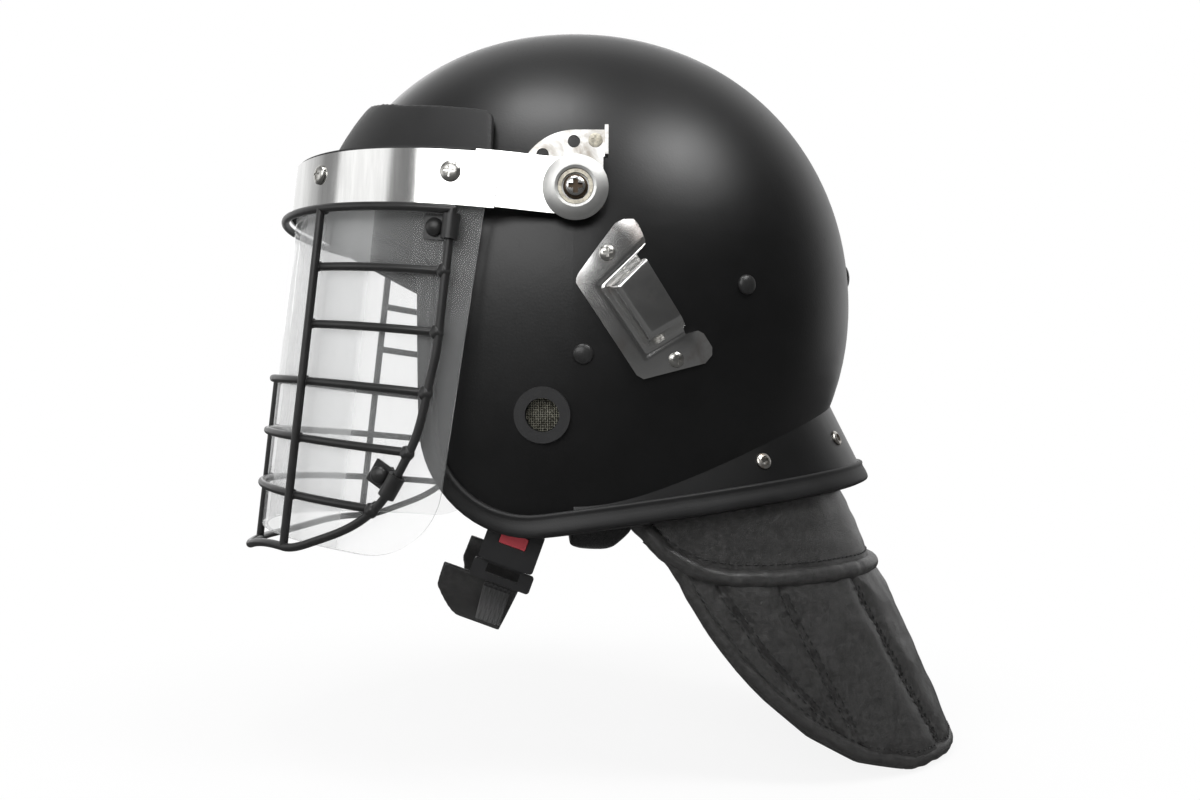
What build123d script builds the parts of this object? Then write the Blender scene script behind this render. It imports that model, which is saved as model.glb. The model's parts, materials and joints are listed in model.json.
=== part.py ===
from build123d import *
import math
import os

os.makedirs("parts", exist_ok=True)

# A police riot helmet in millimetres. +Z is up, the face looks along -Y, +X is the wearer's left.
# The origin is the head mount: centre plane, level of the ear ports, middle of the shell's length.

# Shell: an egg-shaped dome of horizontal ovals
shell_half_width = 122.0
shell_front_reach = 143.0
shell_rear_reach = 150.0
dome_centre_y = -5.0
widest_level = 58.0
crown_rise = 149.0
side_fall = 260.0
rear_fall = 146.0
shell_wall = 4.0
front_roundness = 2.2
rear_roundness = 2.1
dome_steps = 7
skirt_steps = 5
form_bottom = -72.0
cut_reach = 260.0
overrun = 2.0
seat_gap = 0.3
probe_step = 0.5

# Nape flare
flare_top = 6.4
flare_half_width = 99.5
flare_rear_slope = 0.5
flare_side_slope = 0.27
flare_over = 9.9

# Rim of the shell in the side view, and its rubber trim
rim_front_y = -76.0
rim_front_top = 66.0
brow_front_y = -144.0
brow_front_z = 99.0
rim_low_y = -28.0
rim_low_z = -55.0
rim_rear_y = 152.0
rim_rear_z = -32.0
rim_corner_radius = 50.0
brow_corner_radius = 9.0
trim_width = 9.5
trim_wall = 1.6
trim_lip = 2.0

# Brow pad
pad_thickness = 6.5
pad_rear_y = -42.0
pad_low_z = 116.0
pad_rear_z = 141.0
pad_mid_y = -88.0
pad_mid_z = 152.0
pad_front_z = 166.0
pad_corner = 6.0

# Foam liner and comfort pads
liner_thickness = 18.0
liner_side_z = 40.0
liner_front_y = -62.0
liner_rear_y = 96.0
liner_rear_z = -2.0
comfort_thickness = 8.0
crown_pad_radius = 62.0
sweatband_low = 92.0
sweatband_high = 122.0
sweatband_rear_y = -66.0
nape_pad_front_y = 70.0
nape_pad_low = -8.0
nape_pad_high = 46.0
cheek_clear = 9.0
cheek_notch_y = -11.0
cheek_thickness = 17.0
cheek_front_y = -58.0
cheek_rear_y = 26.0
cheek_top_gap = 0.3
cheek_low = -67.0
cheek_corner = 16.0

# Ear ports
port_y = -19.0
port_z = 0.0
port_bore = 7.8
port_hole = 9.6
port_flange = 12.8
port_lip = 2.4
mesh_wire = 0.7
mesh_pitch = 2.1
mesh_frame = 0.9

# Visor pivot
pivot_y = -4.0
pivot_z = 101.0
pivot_screw_radius = 3.0
pivot_bush_radius = 6.0
pivot_foot_radius = 9.0
foot_clear = 1.0
pivot_running = 0.05
disc_radius = 14.7
disc_recess = 8.1
disc_rise = 3.6
disc_floor = 1.2
disc_edge = 0.96
ring_inner = 6.2
ring_outer = 7.8
ring_height = 1.4
screw_head_radius = 5.5
screw_head_height = 3.4
inner_nut_flats = 10.0
inner_nut_height = 5.0
inner_washer_radius = 9.0
inner_washer_height = 1.5
recess_arm = 3.2
recess_width = 1.1
recess_depth = 1.5
recess_share = 0.6
head_edge_share = 0.25
head_arc_deg = 84.0

# Detent plate
plate_thickness = 2.0
plate_outer_x = 122.6
plate_radius = 26.6
plate_rear_y = 10.6
plate_notch = 2.2
plate_low = 8.0
detent_radius = 21.4
detent_hole = 2.8
detent_start_deg = 175.0
detent_step_deg = 41.5
detent_peg_radius = 2.2
detent_peg_gap = 0.25
plate_screw_y = 4.9
plate_screw_z = 122.9
plate_screw_radius = 3.2
plate_screw_shank = 1.8
tab_height = 13.0
tab_thickness = 1.6
tab_stand = 5.4
tab_low_z = 115.5

# Visor: a leaning cylinder
visor_lean_deg = 6.4
visor_centre_y = -41.6
visor_centre_z = 20.0
band_radius = 127.5
band_thickness = 1.2
band_low = 71.3
band_height = 24.5
band_end_deg = 87.0
arm_thickness = 1.8
arm_front_deg = 82.0
arm_end_radius = 12.5
layer_gap = 0.1
sheet_thickness = 3.0
sheet_bottom = -90.0
sheet_top_overlap = 20.0
sheet_corner = 34.0
sheet_half_deg = 89.0
sheet_rear_v = -10.5
sheet_low_rear_v = -17.5
gasket_rise = 1.4
gasket_drop = 14.0
band_screw_degs = (77.3, 41.0)
band_screw_height = 86.0
band_screw_radius = 4.7
band_screw_rise = 2.3
band_screw_shank = 2.0
band_nut_radius = 4.0
band_nut_height = 2.4

# Wire cage
wire_radius = 2.0
cage_radius = 129.6
bar_pitch = 27.4
bar_top = 68.7
cage_low = -93.4
cage_side_deg = 79.0
upright_deg = 44.7
weld_depth = 1.1
cage_bottom_dip = 9.0
cage_dip_share = 0.7
cage_corner_degs = (79.0, 78.2, 76.6, 74.0, 71.2, 65.8, 55.6, 44.7)
cage_corner_drop_shares = (0.0, 0.184, 0.430, 0.581, 0.707, 0.826, 0.936, 1.0)
cage_corner_top = 10.0
bar_reach_degs = (78.1, 75.7, 69.3)
bar_meet_deg = 0.5

# Wire clamps
clamp_width = 11.0
clamp_wall = 1.6
clamp_front = 5.2
clamp_reaches = (9.04, 9.63)
clamp_bore_gap = 0.35
clamp_screw_degs = (75.0, 68.9)
clamp_screw_heights = (60.9, -52.5)
clamp_turns_deg = (0.0, 25.5)
clamp_screw_radius = 4.2
clamp_screw_rise = 3.2
clamp_shank = 1.9
clamp_nut_radius = 3.8
clamp_nut_height = 2.4

# Mask hook bracket: sheet metal formed to the shell's side
hook_sheet = 1.3
hook_rise = 6.5
hook_screw_shank = 1.7
hook_screw_radius = 3.6
hook_screw_rise = 1.8
hook_top_screw = (10.0, 72.5)
hook_low_screw = (41.3, 25.0)
hook_outline = ((17.7, 88.0), (22.5, 88.0), (27.3, 78.0), (23.8, 71.0), (45.2, 38.8), (53.0, 38.2),
                (58.5, 30.0), (54.6, 23.0), (26.0, 16.2), (-3.8, 60.0), (13.0, 86.2))
hook_mouth_share = 0.12
hook_pocket = ((23.5, 71.5), (44.6, 39.3), (28.4, 29.4), (8.6, 57.4))

# Rivets
rivet_radius = 4.7
rivet_rise = 2.6
rivet_shank = 2.1
rivet_places = ((-0.7, 27.3), (75.4, 60.7))
rear_rivet_z = 78.0
rear_rivet_radius = 7.0
rear_rivet_rise = 4.0
nape_rivet_radius = 4.0
nape_rivet_bore = 2.2
nape_rivet_rise = 1.6
nape_rivet_places = ((86.0, -22.0), (131.0, -11.5))

# Leather neck guard
guard_centre_y = 40.0
guard_top = -30.0
guard_rear_reach = 96.5
guard_half_width = 97.0
guard_rear_slope = 0.45
guard_side_slope = 0.06
guard_bottom = -186.0
collar_thickness = 5.0
collar_top = -38.0
collar_low = -76.0
gusset_top = -4.5
gusset_mid = -25.0
gusset_low = -47.0
gusset_leather = 2.0
collar_rise = 14.0
collar_front_y = 31.0
piping_radius = 4.6
piping_level = -78.0
piping_front_y = 40.0
piping_front_rise = 14.0
flap_layer = 2.6
flap_top = -83.0
flap_front_y = 40.0
flap_low_front = (76.0, -122.0)
flap_low_mid = (112.0, -154.0)
flap_low_turn = (138.0, -168.5)
flap_low_rear = (166.0, -177.0)
flap_tail = (215.0, -177.0)
binding_width = 7.0
binding_wall = 1.5

# Chin harness: a loop of webbing in a leaning plane
harness_lean_deg = 20.0
anchor_y = -19.0
anchor_z = -20.0
anchor_plate_radius = 9.0
anchor_plate_thickness = 1.5
webbing_width = 22.0
webbing_thickness = 1.8
strap_wall_gap = 3.0
strap_end_depth = 5.6
strap_bend_depth = 29.0
buckle_x = 93.0
socket_width = 27.0
socket_depth = 12.0
socket_top = 36.0
socket_length = 18.0
socket_wall = 1.6
button_width = 13.0
button_length = 5.6
button_depth = 41.5
button_thickness = 1.6
button_proud = 0.5
button_inset = 3.2
tongue_width = 19.5
tongue_thickness = 2.4
tongue_clear = 1.1
tongue_slot_length = 4.6
tongue_bar = 3.6
tongue_frame_width = 30.0
cup_shoulder = 80.0
cup_top = 63.0
cup_bottom = 101.0
cup_half_width = 68.0
cup_wall = 4.0
cup_front = -30.0
cup_rear = 10.5
cup_low_front = -13.0
cup_low_rear = 6.0
hanger_depth = 44.0
hanger_ring_wire = 1.8
hanger_ring_gap = 4.0


def level_sizes(z, inset):
    """Front reach, rear reach and half width of the dome's oval at height z."""
    rise = crown_rise - inset
    if z >= widest_level:
        share = (z - widest_level) / rise
        front = (1 - share ** front_roundness) ** (1 / front_roundness)
        rear = (1 - share ** rear_roundness) ** (1 / rear_roundness)
        side = rear
    else:
        drop = widest_level - z
        front = math.sqrt(1 - (drop / side_fall) ** 2)
        rear = math.sqrt(1 - (drop / rear_fall) ** 2)
        side = front
    half = (shell_half_width - inset) * side
    return (shell_front_reach - inset) * front, (shell_rear_reach - inset) * rear, half


def side_x(y, z, inset=0.0):
    """Half width of the dome at a place in the side view."""
    front, rear, half = level_sizes(z, inset)
    reach = rear if y > dome_centre_y else front
    return half * math.sqrt(1 - ((y - dome_centre_y) / reach) ** 2)


def side_plane(y, z):
    """Plane on the dome's left side at a place in the side view, facing out."""
    slope_y = (side_x(y + probe_step, z) - side_x(y - probe_step, z)) / (2 * probe_step)
    slope_z = (side_x(y, z + probe_step) - side_x(y, z - probe_step)) / (2 * probe_step)
    return Plane(origin=(side_x(y, z), y, z), x_dir=(slope_y, 1, 0), z_dir=(1, -slope_y, -slope_z))


def oval(half, front, rear, z):
    """Horizontal oval of two half ellipses."""
    with BuildSketch(Plane.XY.offset(z)) as sketch:
        with BuildLine():
            EllipticalCenterArc((0, dome_centre_y), half, rear, start_angle=0, arc_size=180)
            EllipticalCenterArc((0, dome_centre_y), half, front, start_angle=180, arc_size=180)
        make_face()
    return sketch.sketch.faces()[0]


domes = {}


def dome(inset):
    """The closed dome, drawn in by inset all round."""
    if inset not in domes:
        rise = crown_rise - inset
        low = form_bottom - (overrun if inset > 0 else 0)
        levels = [low + (widest_level - low) * i / skirt_steps for i in range(skirt_steps)]
        levels += [widest_level + rise * math.sin(math.pi / 2 * i / dome_steps) for i in range(dome_steps)]
        ovals = []
        for z in levels:
            front, rear, half = level_sizes(z, inset)
            ovals.append(oval(half, front, rear, z))
        with BuildPart() as form:
            loft(sections=ovals + [Vertex(0, dome_centre_y, widest_level + rise)])
        domes[inset] = form.part
    return domes[inset]


def flare(inset):
    """The nape flare: half of an elliptical cone that widens downwards."""
    base_rear = level_sizes(flare_top, 0)[1]
    halves = []
    for z in (flare_top + flare_over, form_bottom - (overrun if inset > 0 else 0)):
        drop = flare_top - z
        half = flare_half_width - inset + drop * flare_side_slope
        rear = base_rear - inset + drop * flare_rear_slope
        with BuildSketch(Plane.XY.offset(z)) as sketch:
            with BuildLine():
                EllipticalCenterArc((0, dome_centre_y), half, rear, start_angle=0, arc_size=180)
                Line((-half, dome_centre_y), (half, dome_centre_y))
            make_face()
        halves.append(sketch.sketch.faces()[0])
    with BuildPart() as form:
        loft(sections=halves)
    return form.part


def full_form(inset):
    """Dome and flare together."""
    with BuildPart() as form:
        add(dome(inset))
        add(flare(inset))
    return form.part


def outline(points, corner=0.0):
    """Closed side view outline, with its first corners rounded if a radius is given."""
    with BuildSketch() as sketch:
        with BuildLine():
            Polyline(*points, close=True)
        make_face()
        if corner:
            fillet(sketch.vertices(), corner)
    return sketch.sketch


def formed(face, low, high, both=True):
    """Solid that follows the dome between two heights above it, inside a side view outline."""
    with BuildPart() as piece:
        add(dome(-high))
        add(dome(-low), mode=Mode.SUBTRACT)
        with BuildSketch(Plane.YZ):
            add(face)
        extrude(amount=cut_reach, both=both, mode=Mode.INTERSECT)
    return piece.part


# Side view outlines of the rim
brow_slope = (brow_front_z - rim_front_top) / (brow_front_y - rim_front_y)
far_front_z = brow_front_z + (brow_front_y + cut_reach) * -brow_slope
rim_slope = (rim_rear_z - rim_low_z) / (rim_rear_y - rim_low_y)
rim_corner_z = rim_low_z + (rim_front_y - rim_low_y) * rim_slope
far_rear_z = rim_low_z + (cut_reach - rim_low_y) * rim_slope
with BuildSketch() as rim_sketch:
    with BuildLine():
        Polyline((-cut_reach, far_front_z), (rim_front_y, rim_front_top), (rim_front_y, rim_corner_z),
                 (cut_reach, far_rear_z), (cut_reach, cut_reach), (-cut_reach, cut_reach), close=True)
    make_face()
    fillet(rim_sketch.vertices().sort_by_distance((rim_front_y, rim_corner_z))[0], rim_corner_radius)
    fillet(rim_sketch.vertices().sort_by_distance((rim_front_y, rim_front_top))[0], brow_corner_radius)
rim_region = rim_sketch.sketch
with BuildSketch() as edge_sketch:
    add(rim_region)
    offset(amount=-trim_lip, kind=Kind.INTERSECTION)
shell_region = edge_sketch.sketch
with BuildSketch() as strip_sketch:
    add(rim_region)
    offset(amount=-trim_width, kind=Kind.INTERSECTION)
inside_region = strip_sketch.sketch

# Places on the shell's sides
pivot_seat_x = side_x(pivot_y, pivot_z)
plate_inner_x = plate_outer_x - plate_thickness
sheet_radius = band_radius - band_thickness - arm_thickness - 2 * layer_gap
arm_inner_x = sheet_radius + layer_gap
arm_outer_x = arm_inner_x + arm_thickness
disc_low_x = arm_outer_x + layer_gap
port_plane = side_plane(port_y, port_z)
rear_reach_at_rivet = level_sizes(rear_rivet_z, 0)[1]
rear_rivet_slope = (level_sizes(rear_rivet_z + probe_step, 0)[1] - rear_reach_at_rivet) / probe_step
rear_rivet_plane = Plane(origin=(0, dome_centre_y + rear_reach_at_rivet, rear_rivet_z),
                         x_dir=(1, 0, 0), z_dir=(0, 1, -rear_rivet_slope))


def flare_plane(y, z):
    """Plane on the flare's left side, facing out."""
    drop = flare_top - z
    half = flare_half_width + drop * flare_side_slope
    reach = level_sizes(flare_top, 0)[1] + drop * flare_rear_slope
    share = (y - dome_centre_y) / reach
    x = half * math.sqrt(1 - share ** 2)
    slope_y = -half ** 2 * share / reach / x
    slope_z = -(flare_side_slope * x / half + flare_rear_slope * half ** 2 * share ** 2 / reach / x)
    return Plane(origin=(x, y, z), x_dir=(slope_y, 1, 0), z_dir=(1, -slope_y, -slope_z))


# Outer shell
hole_places = [(side_plane(y, z), rivet_shank) for y, z in rivet_places]
hole_places += [(side_plane(y, z), hook_screw_shank + pivot_running)
                for y, z in (hook_top_screw, hook_low_screw)]
hole_places += [(flare_plane(y, z), nape_rivet_bore + nape_rivet_rise / 2) for y, z in nape_rivet_places]
outside = full_form(0)
inside = full_form(shell_wall)
with BuildPart() as outer_shell:
    add(outside)
    add(inside, mode=Mode.SUBTRACT)
    with BuildSketch(Plane.YZ):
        add(shell_region)
    extrude(amount=cut_reach, both=True, mode=Mode.INTERSECT)
    with BuildSketch(Plane.YZ):
        with Locations((pivot_y, pivot_z)):
            Circle(pivot_screw_radius + pivot_running)
        with Locations((plate_screw_y, plate_screw_z)):
            Circle(plate_screw_shank + pivot_running)
        with Locations((port_y, port_z)):
            Circle(port_hole)
    extrude(amount=cut_reach, both=True, mode=Mode.SUBTRACT)
    with BuildPart(mode=Mode.PRIVATE) as side_holes:
        for plane, radius in hole_places:
            with BuildSketch(plane):
                Circle(radius)
            extrude(amount=shell_wall * 3, both=True)
        mirror(about=Plane.YZ)
    add(side_holes.part, mode=Mode.SUBTRACT)
    with BuildSketch(rear_rivet_plane):
        Circle(rivet_shank)
    extrude(amount=shell_wall * 3, both=True, mode=Mode.SUBTRACT)
outer_shell.part.label = "outer_shell"
export_step(outer_shell.part, "parts/outer_shell.step")


# Rubber trim round the whole rim
with BuildPart() as edge_trim:
    add(full_form(-trim_wall))
    add(full_form(shell_wall + trim_wall), mode=Mode.SUBTRACT)
    with BuildSketch(Plane.YZ):
        add(rim_region)
        add(inside_region, mode=Mode.SUBTRACT)
    extrude(amount=cut_reach, both=True, mode=Mode.INTERSECT)
    add(outer_shell.part, mode=Mode.SUBTRACT)
edge_trim.part.label = "edge_trim"
export_step(edge_trim.part, "parts/edge_trim.step")

# Brow pad: a thick rubber block seated on the forehead
far_pad_y = -cut_reach
far_pad_z = pad_mid_z + (pad_mid_y - far_pad_y) * (pad_front_z - pad_mid_z) / (pad_mid_y + shell_half_width)
with BuildSketch() as pad_sketch:
    with BuildLine():
        Polyline((far_pad_y, pad_low_z), (pad_rear_y, pad_low_z), (pad_rear_y, pad_rear_z),
                 (pad_mid_y, pad_mid_z), (far_pad_y, far_pad_z), close=True)
    make_face()
    fillet(pad_sketch.vertices().sort_by_distance((pad_rear_y, pad_rear_z))[0], pad_corner)
with BuildPart() as brow_pad:
    add(formed(pad_sketch.sketch, 0, pad_thickness))
brow_pad.part.label = "brow_pad"
export_step(brow_pad.part, "parts/brow_pad.step")

# Foam liner
liner_outline = outline(((-cut_reach, far_front_z), (liner_front_y, rim_front_top + trim_width),
                         (liner_front_y, liner_side_z), (liner_rear_y - cheek_rear_y, liner_side_z),
                         (liner_rear_y, liner_rear_z), (cut_reach, liner_rear_z),
                         (cut_reach, cut_reach), (-cut_reach, cut_reach)))
liner_low = -shell_wall - seat_gap
liner_high = liner_low - liner_thickness
with BuildSketch() as liner_sketch:
    add(liner_outline)
    add(inside_region, mode=Mode.INTERSECT)
    offset(amount=-trim_width / 4, kind=Kind.INTERSECTION)
pocket_places = [(side_plane(y, z), rivet_radius) for y, z in rivet_places]
pocket_places += [(side_plane(y, z), hook_screw_radius) for y, z in (hook_top_screw, hook_low_screw)]
pocket_places.append((side_plane(plate_screw_y, plate_screw_z), plate_screw_radius))
pocket_places.append((rear_rivet_plane, rear_rivet_radius))
pocket_depth = shell_wall + rear_rivet_rise
with BuildPart() as liner_pockets:
    for plane, radius in pocket_places:
        with BuildSketch(plane):
            Circle(radius + seat_gap)
        extrude(amount=-pocket_depth)
    with BuildSketch(Plane(origin=(pivot_seat_x, pivot_y, pivot_z), x_dir=(0, 1, 0), z_dir=(1, 0, 0))):
        Circle(inner_washer_radius + overrun / 2)
    extrude(amount=-shell_wall - inner_washer_height - inner_nut_height - overrun)
    mirror(about=Plane.YZ)
with BuildPart() as impact_liner:
    add(formed(liner_sketch.sketch, liner_high, liner_low))
    add(liner_pockets.part, mode=Mode.SUBTRACT)
impact_liner.part.label = "impact_liner"
export_step(impact_liner.part, "parts/impact_liner.step")

# Comfort pads on the liner
pad_outside = liner_high - seat_gap
pad_inside = pad_outside - comfort_thickness
with BuildPart() as crown_pad:
    add(dome(-pad_outside))
    add(dome(-pad_inside), mode=Mode.SUBTRACT)
    with BuildSketch(Plane.XY.offset(widest_level)):
        with Locations((0, dome_centre_y)):
            Circle(crown_pad_radius)
    extrude(amount=crown_rise, mode=Mode.INTERSECT)
crown_pad.part.label = "crown_pad"
export_step(crown_pad.part, "parts/crown_pad.step")

band_outline = outline(((-cut_reach, sweatband_low), (sweatband_rear_y, sweatband_low),
                        (sweatband_rear_y, sweatband_high), (-cut_reach, sweatband_high)))
with BuildSketch() as sweatband_sketch:
    add(band_outline)
    add(liner_sketch.sketch, mode=Mode.INTERSECT)
with BuildPart() as sweatband:
    add(formed(sweatband_sketch.sketch, pad_inside, pad_outside))
sweatband.part.label = "sweatband"
export_step(sweatband.part, "parts/sweatband.step")

nape_outline = outline(((nape_pad_front_y, nape_pad_low), (cut_reach, nape_pad_low),
                        (cut_reach, nape_pad_high), (nape_pad_front_y, nape_pad_high)))
with BuildSketch() as nape_sketch:
    add(nape_outline)
    add(liner_sketch.sketch, mode=Mode.INTERSECT)
with BuildPart() as nape_pad:
    add(formed(nape_sketch.sketch, pad_inside, pad_outside))
nape_pad.part.label = "nape_pad"
export_step(nape_pad.part, "parts/nape_pad.step")

# Cheek pads hang inside the sides and show under the rim
cheek_top = liner_side_z + trim_width / 4 - cheek_top_gap
cheek_outline = outline(((cheek_front_y, cheek_top), (cheek_rear_y, cheek_top), (cheek_rear_y, rim_low_z),
                         (cheek_rear_y / 2, cheek_low), (-cheek_corner / 2, cheek_low),
                         (cheek_notch_y, rim_low_z + 2 * trim_wall),
                         (cheek_front_y, rim_low_z + 2 * cheek_corner)), cheek_corner / 4)
cheek_outside = -shell_wall - cheek_clear
with BuildPart() as cheek_pad_left:
    add(formed(cheek_outline, cheek_outside - cheek_thickness, cheek_outside, both=False))
with BuildPart() as cheek_pad_right:
    add(cheek_pad_left.part)
    mirror(about=Plane.YZ, mode=Mode.REPLACE)
for name, piece in (("cheek_pad_left", cheek_pad_left), ("cheek_pad_right", cheek_pad_right)):
    piece.part.label = name
    export_step(piece.part, "parts/" + name + ".step")

# Ear port grommets clasp the shell wall, with a woven screen inside each
port_depth = shell_wall + port_lip
with BuildPart() as ear_grommets:
    with BuildSketch(port_plane):
        Circle(port_flange)
    extrude(amount=port_lip)
    with BuildSketch(port_plane):
        Circle(port_flange)
    extrude(amount=-port_depth)
    add(outer_shell.part, mode=Mode.SUBTRACT)
    with BuildSketch(port_plane):
        Circle(port_bore)
    extrude(amount=port_depth * 2, both=True, mode=Mode.SUBTRACT)
    mirror(about=Plane.YZ)
ear_grommets.part.label = "ear_grommets"
export_step(ear_grommets.part, "parts/ear_grommets.step")

mesh_count = int(2 * (port_bore - mesh_frame) / mesh_pitch)
mesh_span = [(i - (mesh_count - 1) / 2) * mesh_pitch for i in range(mesh_count)]
with BuildPart() as ear_screens:
    with BuildSketch(port_plane.offset(-shell_wall / 2)):
        Circle(port_bore)
        Circle(port_bore - mesh_frame, mode=Mode.SUBTRACT)
        with Locations(*[(0, place) for place in mesh_span]):
            Rectangle(2 * port_bore, mesh_wire)
        with Locations(*[(place, 0) for place in mesh_span]):
            Rectangle(mesh_wire, 2 * port_bore)
        Circle(port_bore, mode=Mode.INTERSECT)
    extrude(amount=mesh_wire)
    mirror(about=Plane.YZ)
ear_screens.part.label = "ear_screens"
export_step(ear_screens.part, "parts/ear_screens.step")


def button(radius, rise, shank, length, bore=0.0):
    """Round head on z = 0 with a shank below it, and a bore through both if a radius is given."""
    with BuildPart() as piece:
        with BuildSketch(Plane.XZ):
            with BuildLine():
                Polyline((0, 0), (radius, 0), (radius, rise * head_edge_share))
                crown = EllipticalCenterArc((0, rise * head_edge_share), radius, rise * (1 - head_edge_share),
                                            start_angle=0, arc_size=head_arc_deg)
                Polyline(crown @ 1, (0, (crown @ 1).Y), (0, 0))
            make_face()
        revolve(axis=Axis.Z)
        with BuildSketch(Plane.XY):
            Circle(shank)
        extrude(amount=-length)
        if bore:
            with BuildSketch(Plane.XY.offset(rise)):
                Circle(bore)
            extrude(amount=-rise - length, mode=Mode.SUBTRACT)
    return piece.part


def cross_cut(head, rise, arm, width, depth):
    """A head with a cross recess cut into its top."""
    with BuildPart() as piece:
        add(head)
        with BuildSketch(Plane.XY.offset(rise)):
            Rectangle(2 * arm, 2 * width)
            Rectangle(2 * width, 2 * arm)
        extrude(amount=-depth, mode=Mode.SUBTRACT)
    return piece.part


def nut(flats, height, bore):
    """Hexagon nut whose top lies on z = 0."""
    with BuildPart() as piece:
        with BuildSketch(Plane.XY):
            RegularPolygon(flats / 2, 6, major_radius=False)
            Circle(bore, mode=Mode.SUBTRACT)
        extrude(amount=-height)
    return piece.part


def save(piece, name):
    """Label a finished part and write it."""
    piece.label = name
    export_step(piece, "parts/" + name + ".step")


# Dome rivets through the shell, with a flat upset inside
rivet_planes = [(side_plane(y, z), rivet_radius, rivet_rise) for y, z in rivet_places]
rivet_planes.append((rear_rivet_plane, rear_rivet_radius, rear_rivet_rise))
rivet_solids = []
for plane, radius, rise in rivet_planes:
    head = button(radius, rise, radius, shell_wall + rivet_rise / 2)
    with BuildPart() as rivet:
        add(head.moved(plane.location))
        add(outer_shell.part, mode=Mode.SUBTRACT)
    rivet_solids.append(rivet.part)
with BuildPart() as shell_rivets:
    add(rivet_solids[:-1])
    mirror(about=Plane.YZ)
    add(rivet_solids[-1])
save(shell_rivets.part, "shell_rivets")

# Hollow rivets that hold the neck guard to the nape flare
with BuildPart() as nape_rivets:
    for y, z in nape_rivet_places:
        with BuildPart(mode=Mode.PRIVATE) as hollow:
            add(button(nape_rivet_radius, nape_rivet_rise,
                       nape_rivet_bore + nape_rivet_rise / 2 - pivot_running,
                       shell_wall + nape_rivet_rise, nape_rivet_bore))
        add(hollow.part.moved(flare_plane(y, z).location))
    mirror(about=Plane.YZ)
save(nape_rivets.part, "nape_rivets")

# Mask hook brackets: formed plate, raised pocket open to the rear, two screws each
pocket_face = outline(hook_pocket)
with BuildSketch() as hollow_sketch:
    add(pocket_face)
    offset(amount=-hook_sheet, kind=Kind.INTERSECTION)
    mouth = Vector(*hook_pocket[1]) - Vector(*hook_pocket[0])
    out = Vector(-mouth.Y, mouth.X) * -(hook_sheet * 2 / mouth.length)
    near = Vector(*hook_pocket[0]) + mouth * hook_mouth_share
    far = Vector(*hook_pocket[1]) - mouth * hook_mouth_share
    with BuildLine():
        Polyline(near, near + out, far + out, far - out * 2, near - out * 2, close=True)
    make_face()
hook_plate = formed(outline(hook_outline), 0, hook_sheet, both=False)
hook_hood = formed(pocket_face, 0, hook_rise + hook_sheet, both=False)
hook_hollow = formed(hollow_sketch.sketch, hook_sheet, hook_rise, both=False)
with BuildPart() as mask_hook_left:
    add(hook_plate)
    add(hook_hood)
    add(hook_hollow, mode=Mode.SUBTRACT)
    for y, z in (hook_top_screw, hook_low_screw):
        with BuildSketch(side_plane(y, z)):
            Circle(hook_screw_shank + pivot_running)
        extrude(amount=shell_wall * 2, both=True, mode=Mode.SUBTRACT)
with BuildPart() as mask_hook_right:
    add(mask_hook_left.part)
    mirror(about=Plane.YZ, mode=Mode.REPLACE)
save(mask_hook_left.part, "mask_hook_left")
save(mask_hook_right.part, "mask_hook_right")

hook_screw = cross_cut(button(hook_screw_radius, hook_screw_rise, hook_screw_shank,
                              shell_wall + 2 * hook_sheet),
                       hook_screw_rise, hook_screw_radius * recess_share, recess_width / 2, recess_depth / 2)
with BuildPart() as hook_screws:
    for y, z in (hook_top_screw, hook_low_screw):
        add(hook_screw.moved(side_plane(y, z).offset(hook_sheet).location))
    mirror(about=Plane.YZ)
save(hook_screws.part, "hook_screws")


def side_frame(x):
    """Plane through the pivot at a distance from the centre plane, facing out."""
    return Plane(origin=(x, pivot_y, pivot_z), x_dir=(0, 1, 0), z_dir=(1, 0, 0))


# Detent plates: a flat fan with three click holes, a flat screw and a bent stop tab
inner_seat_x = pivot_seat_x - shell_wall
plate_frame = side_frame(plate_inner_x)
plate_rear = plate_rear_y - pivot_y
tab_low = tab_low_z - pivot_z
screw_at = (plate_screw_y - pivot_y, plate_screw_z - pivot_z)
with BuildPart() as detent_plate_left:
    with BuildSketch(plate_frame):
        Circle(plate_radius)
        with Locations((plate_rear / 2, plate_radius / 2)):
            Rectangle(plate_rear, plate_radius, mode=Mode.ADD)
        with Locations((-plate_radius / 2, (plate_radius - plate_low) / 2)):
            Rectangle(plate_radius + 2 * plate_rear, plate_radius + plate_low, mode=Mode.INTERSECT)
        with Locations((plate_rear - plate_radius, 0)):
            Rectangle(2 * plate_radius, 2 * plate_radius, mode=Mode.INTERSECT)
        Circle(pivot_bush_radius + pivot_running, mode=Mode.SUBTRACT)
        with Locations((plate_rear, tab_low - plate_radius)):
            Rectangle(2 * plate_notch, 2 * plate_radius, mode=Mode.SUBTRACT)
        with PolarLocations(detent_radius, 3, start_angle=detent_start_deg,
                            angular_range=-2 * detent_step_deg, endpoint=True):
            Circle(detent_hole, mode=Mode.SUBTRACT)
        with Locations(screw_at):
            Circle(plate_screw_shank + pivot_running, mode=Mode.SUBTRACT)
    extrude(amount=plate_thickness)
    with BuildSketch(plate_frame):
        with Locations((plate_rear - tab_thickness / 2, tab_low + tab_height / 2)):
            Rectangle(tab_thickness, tab_height)
    extrude(amount=plate_thickness + tab_stand)
with BuildPart() as detent_plate_right:
    add(detent_plate_left.part)
    mirror(about=Plane.YZ, mode=Mode.REPLACE)
save(detent_plate_left.part, "detent_plate_left")
save(detent_plate_right.part, "detent_plate_right")

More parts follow.
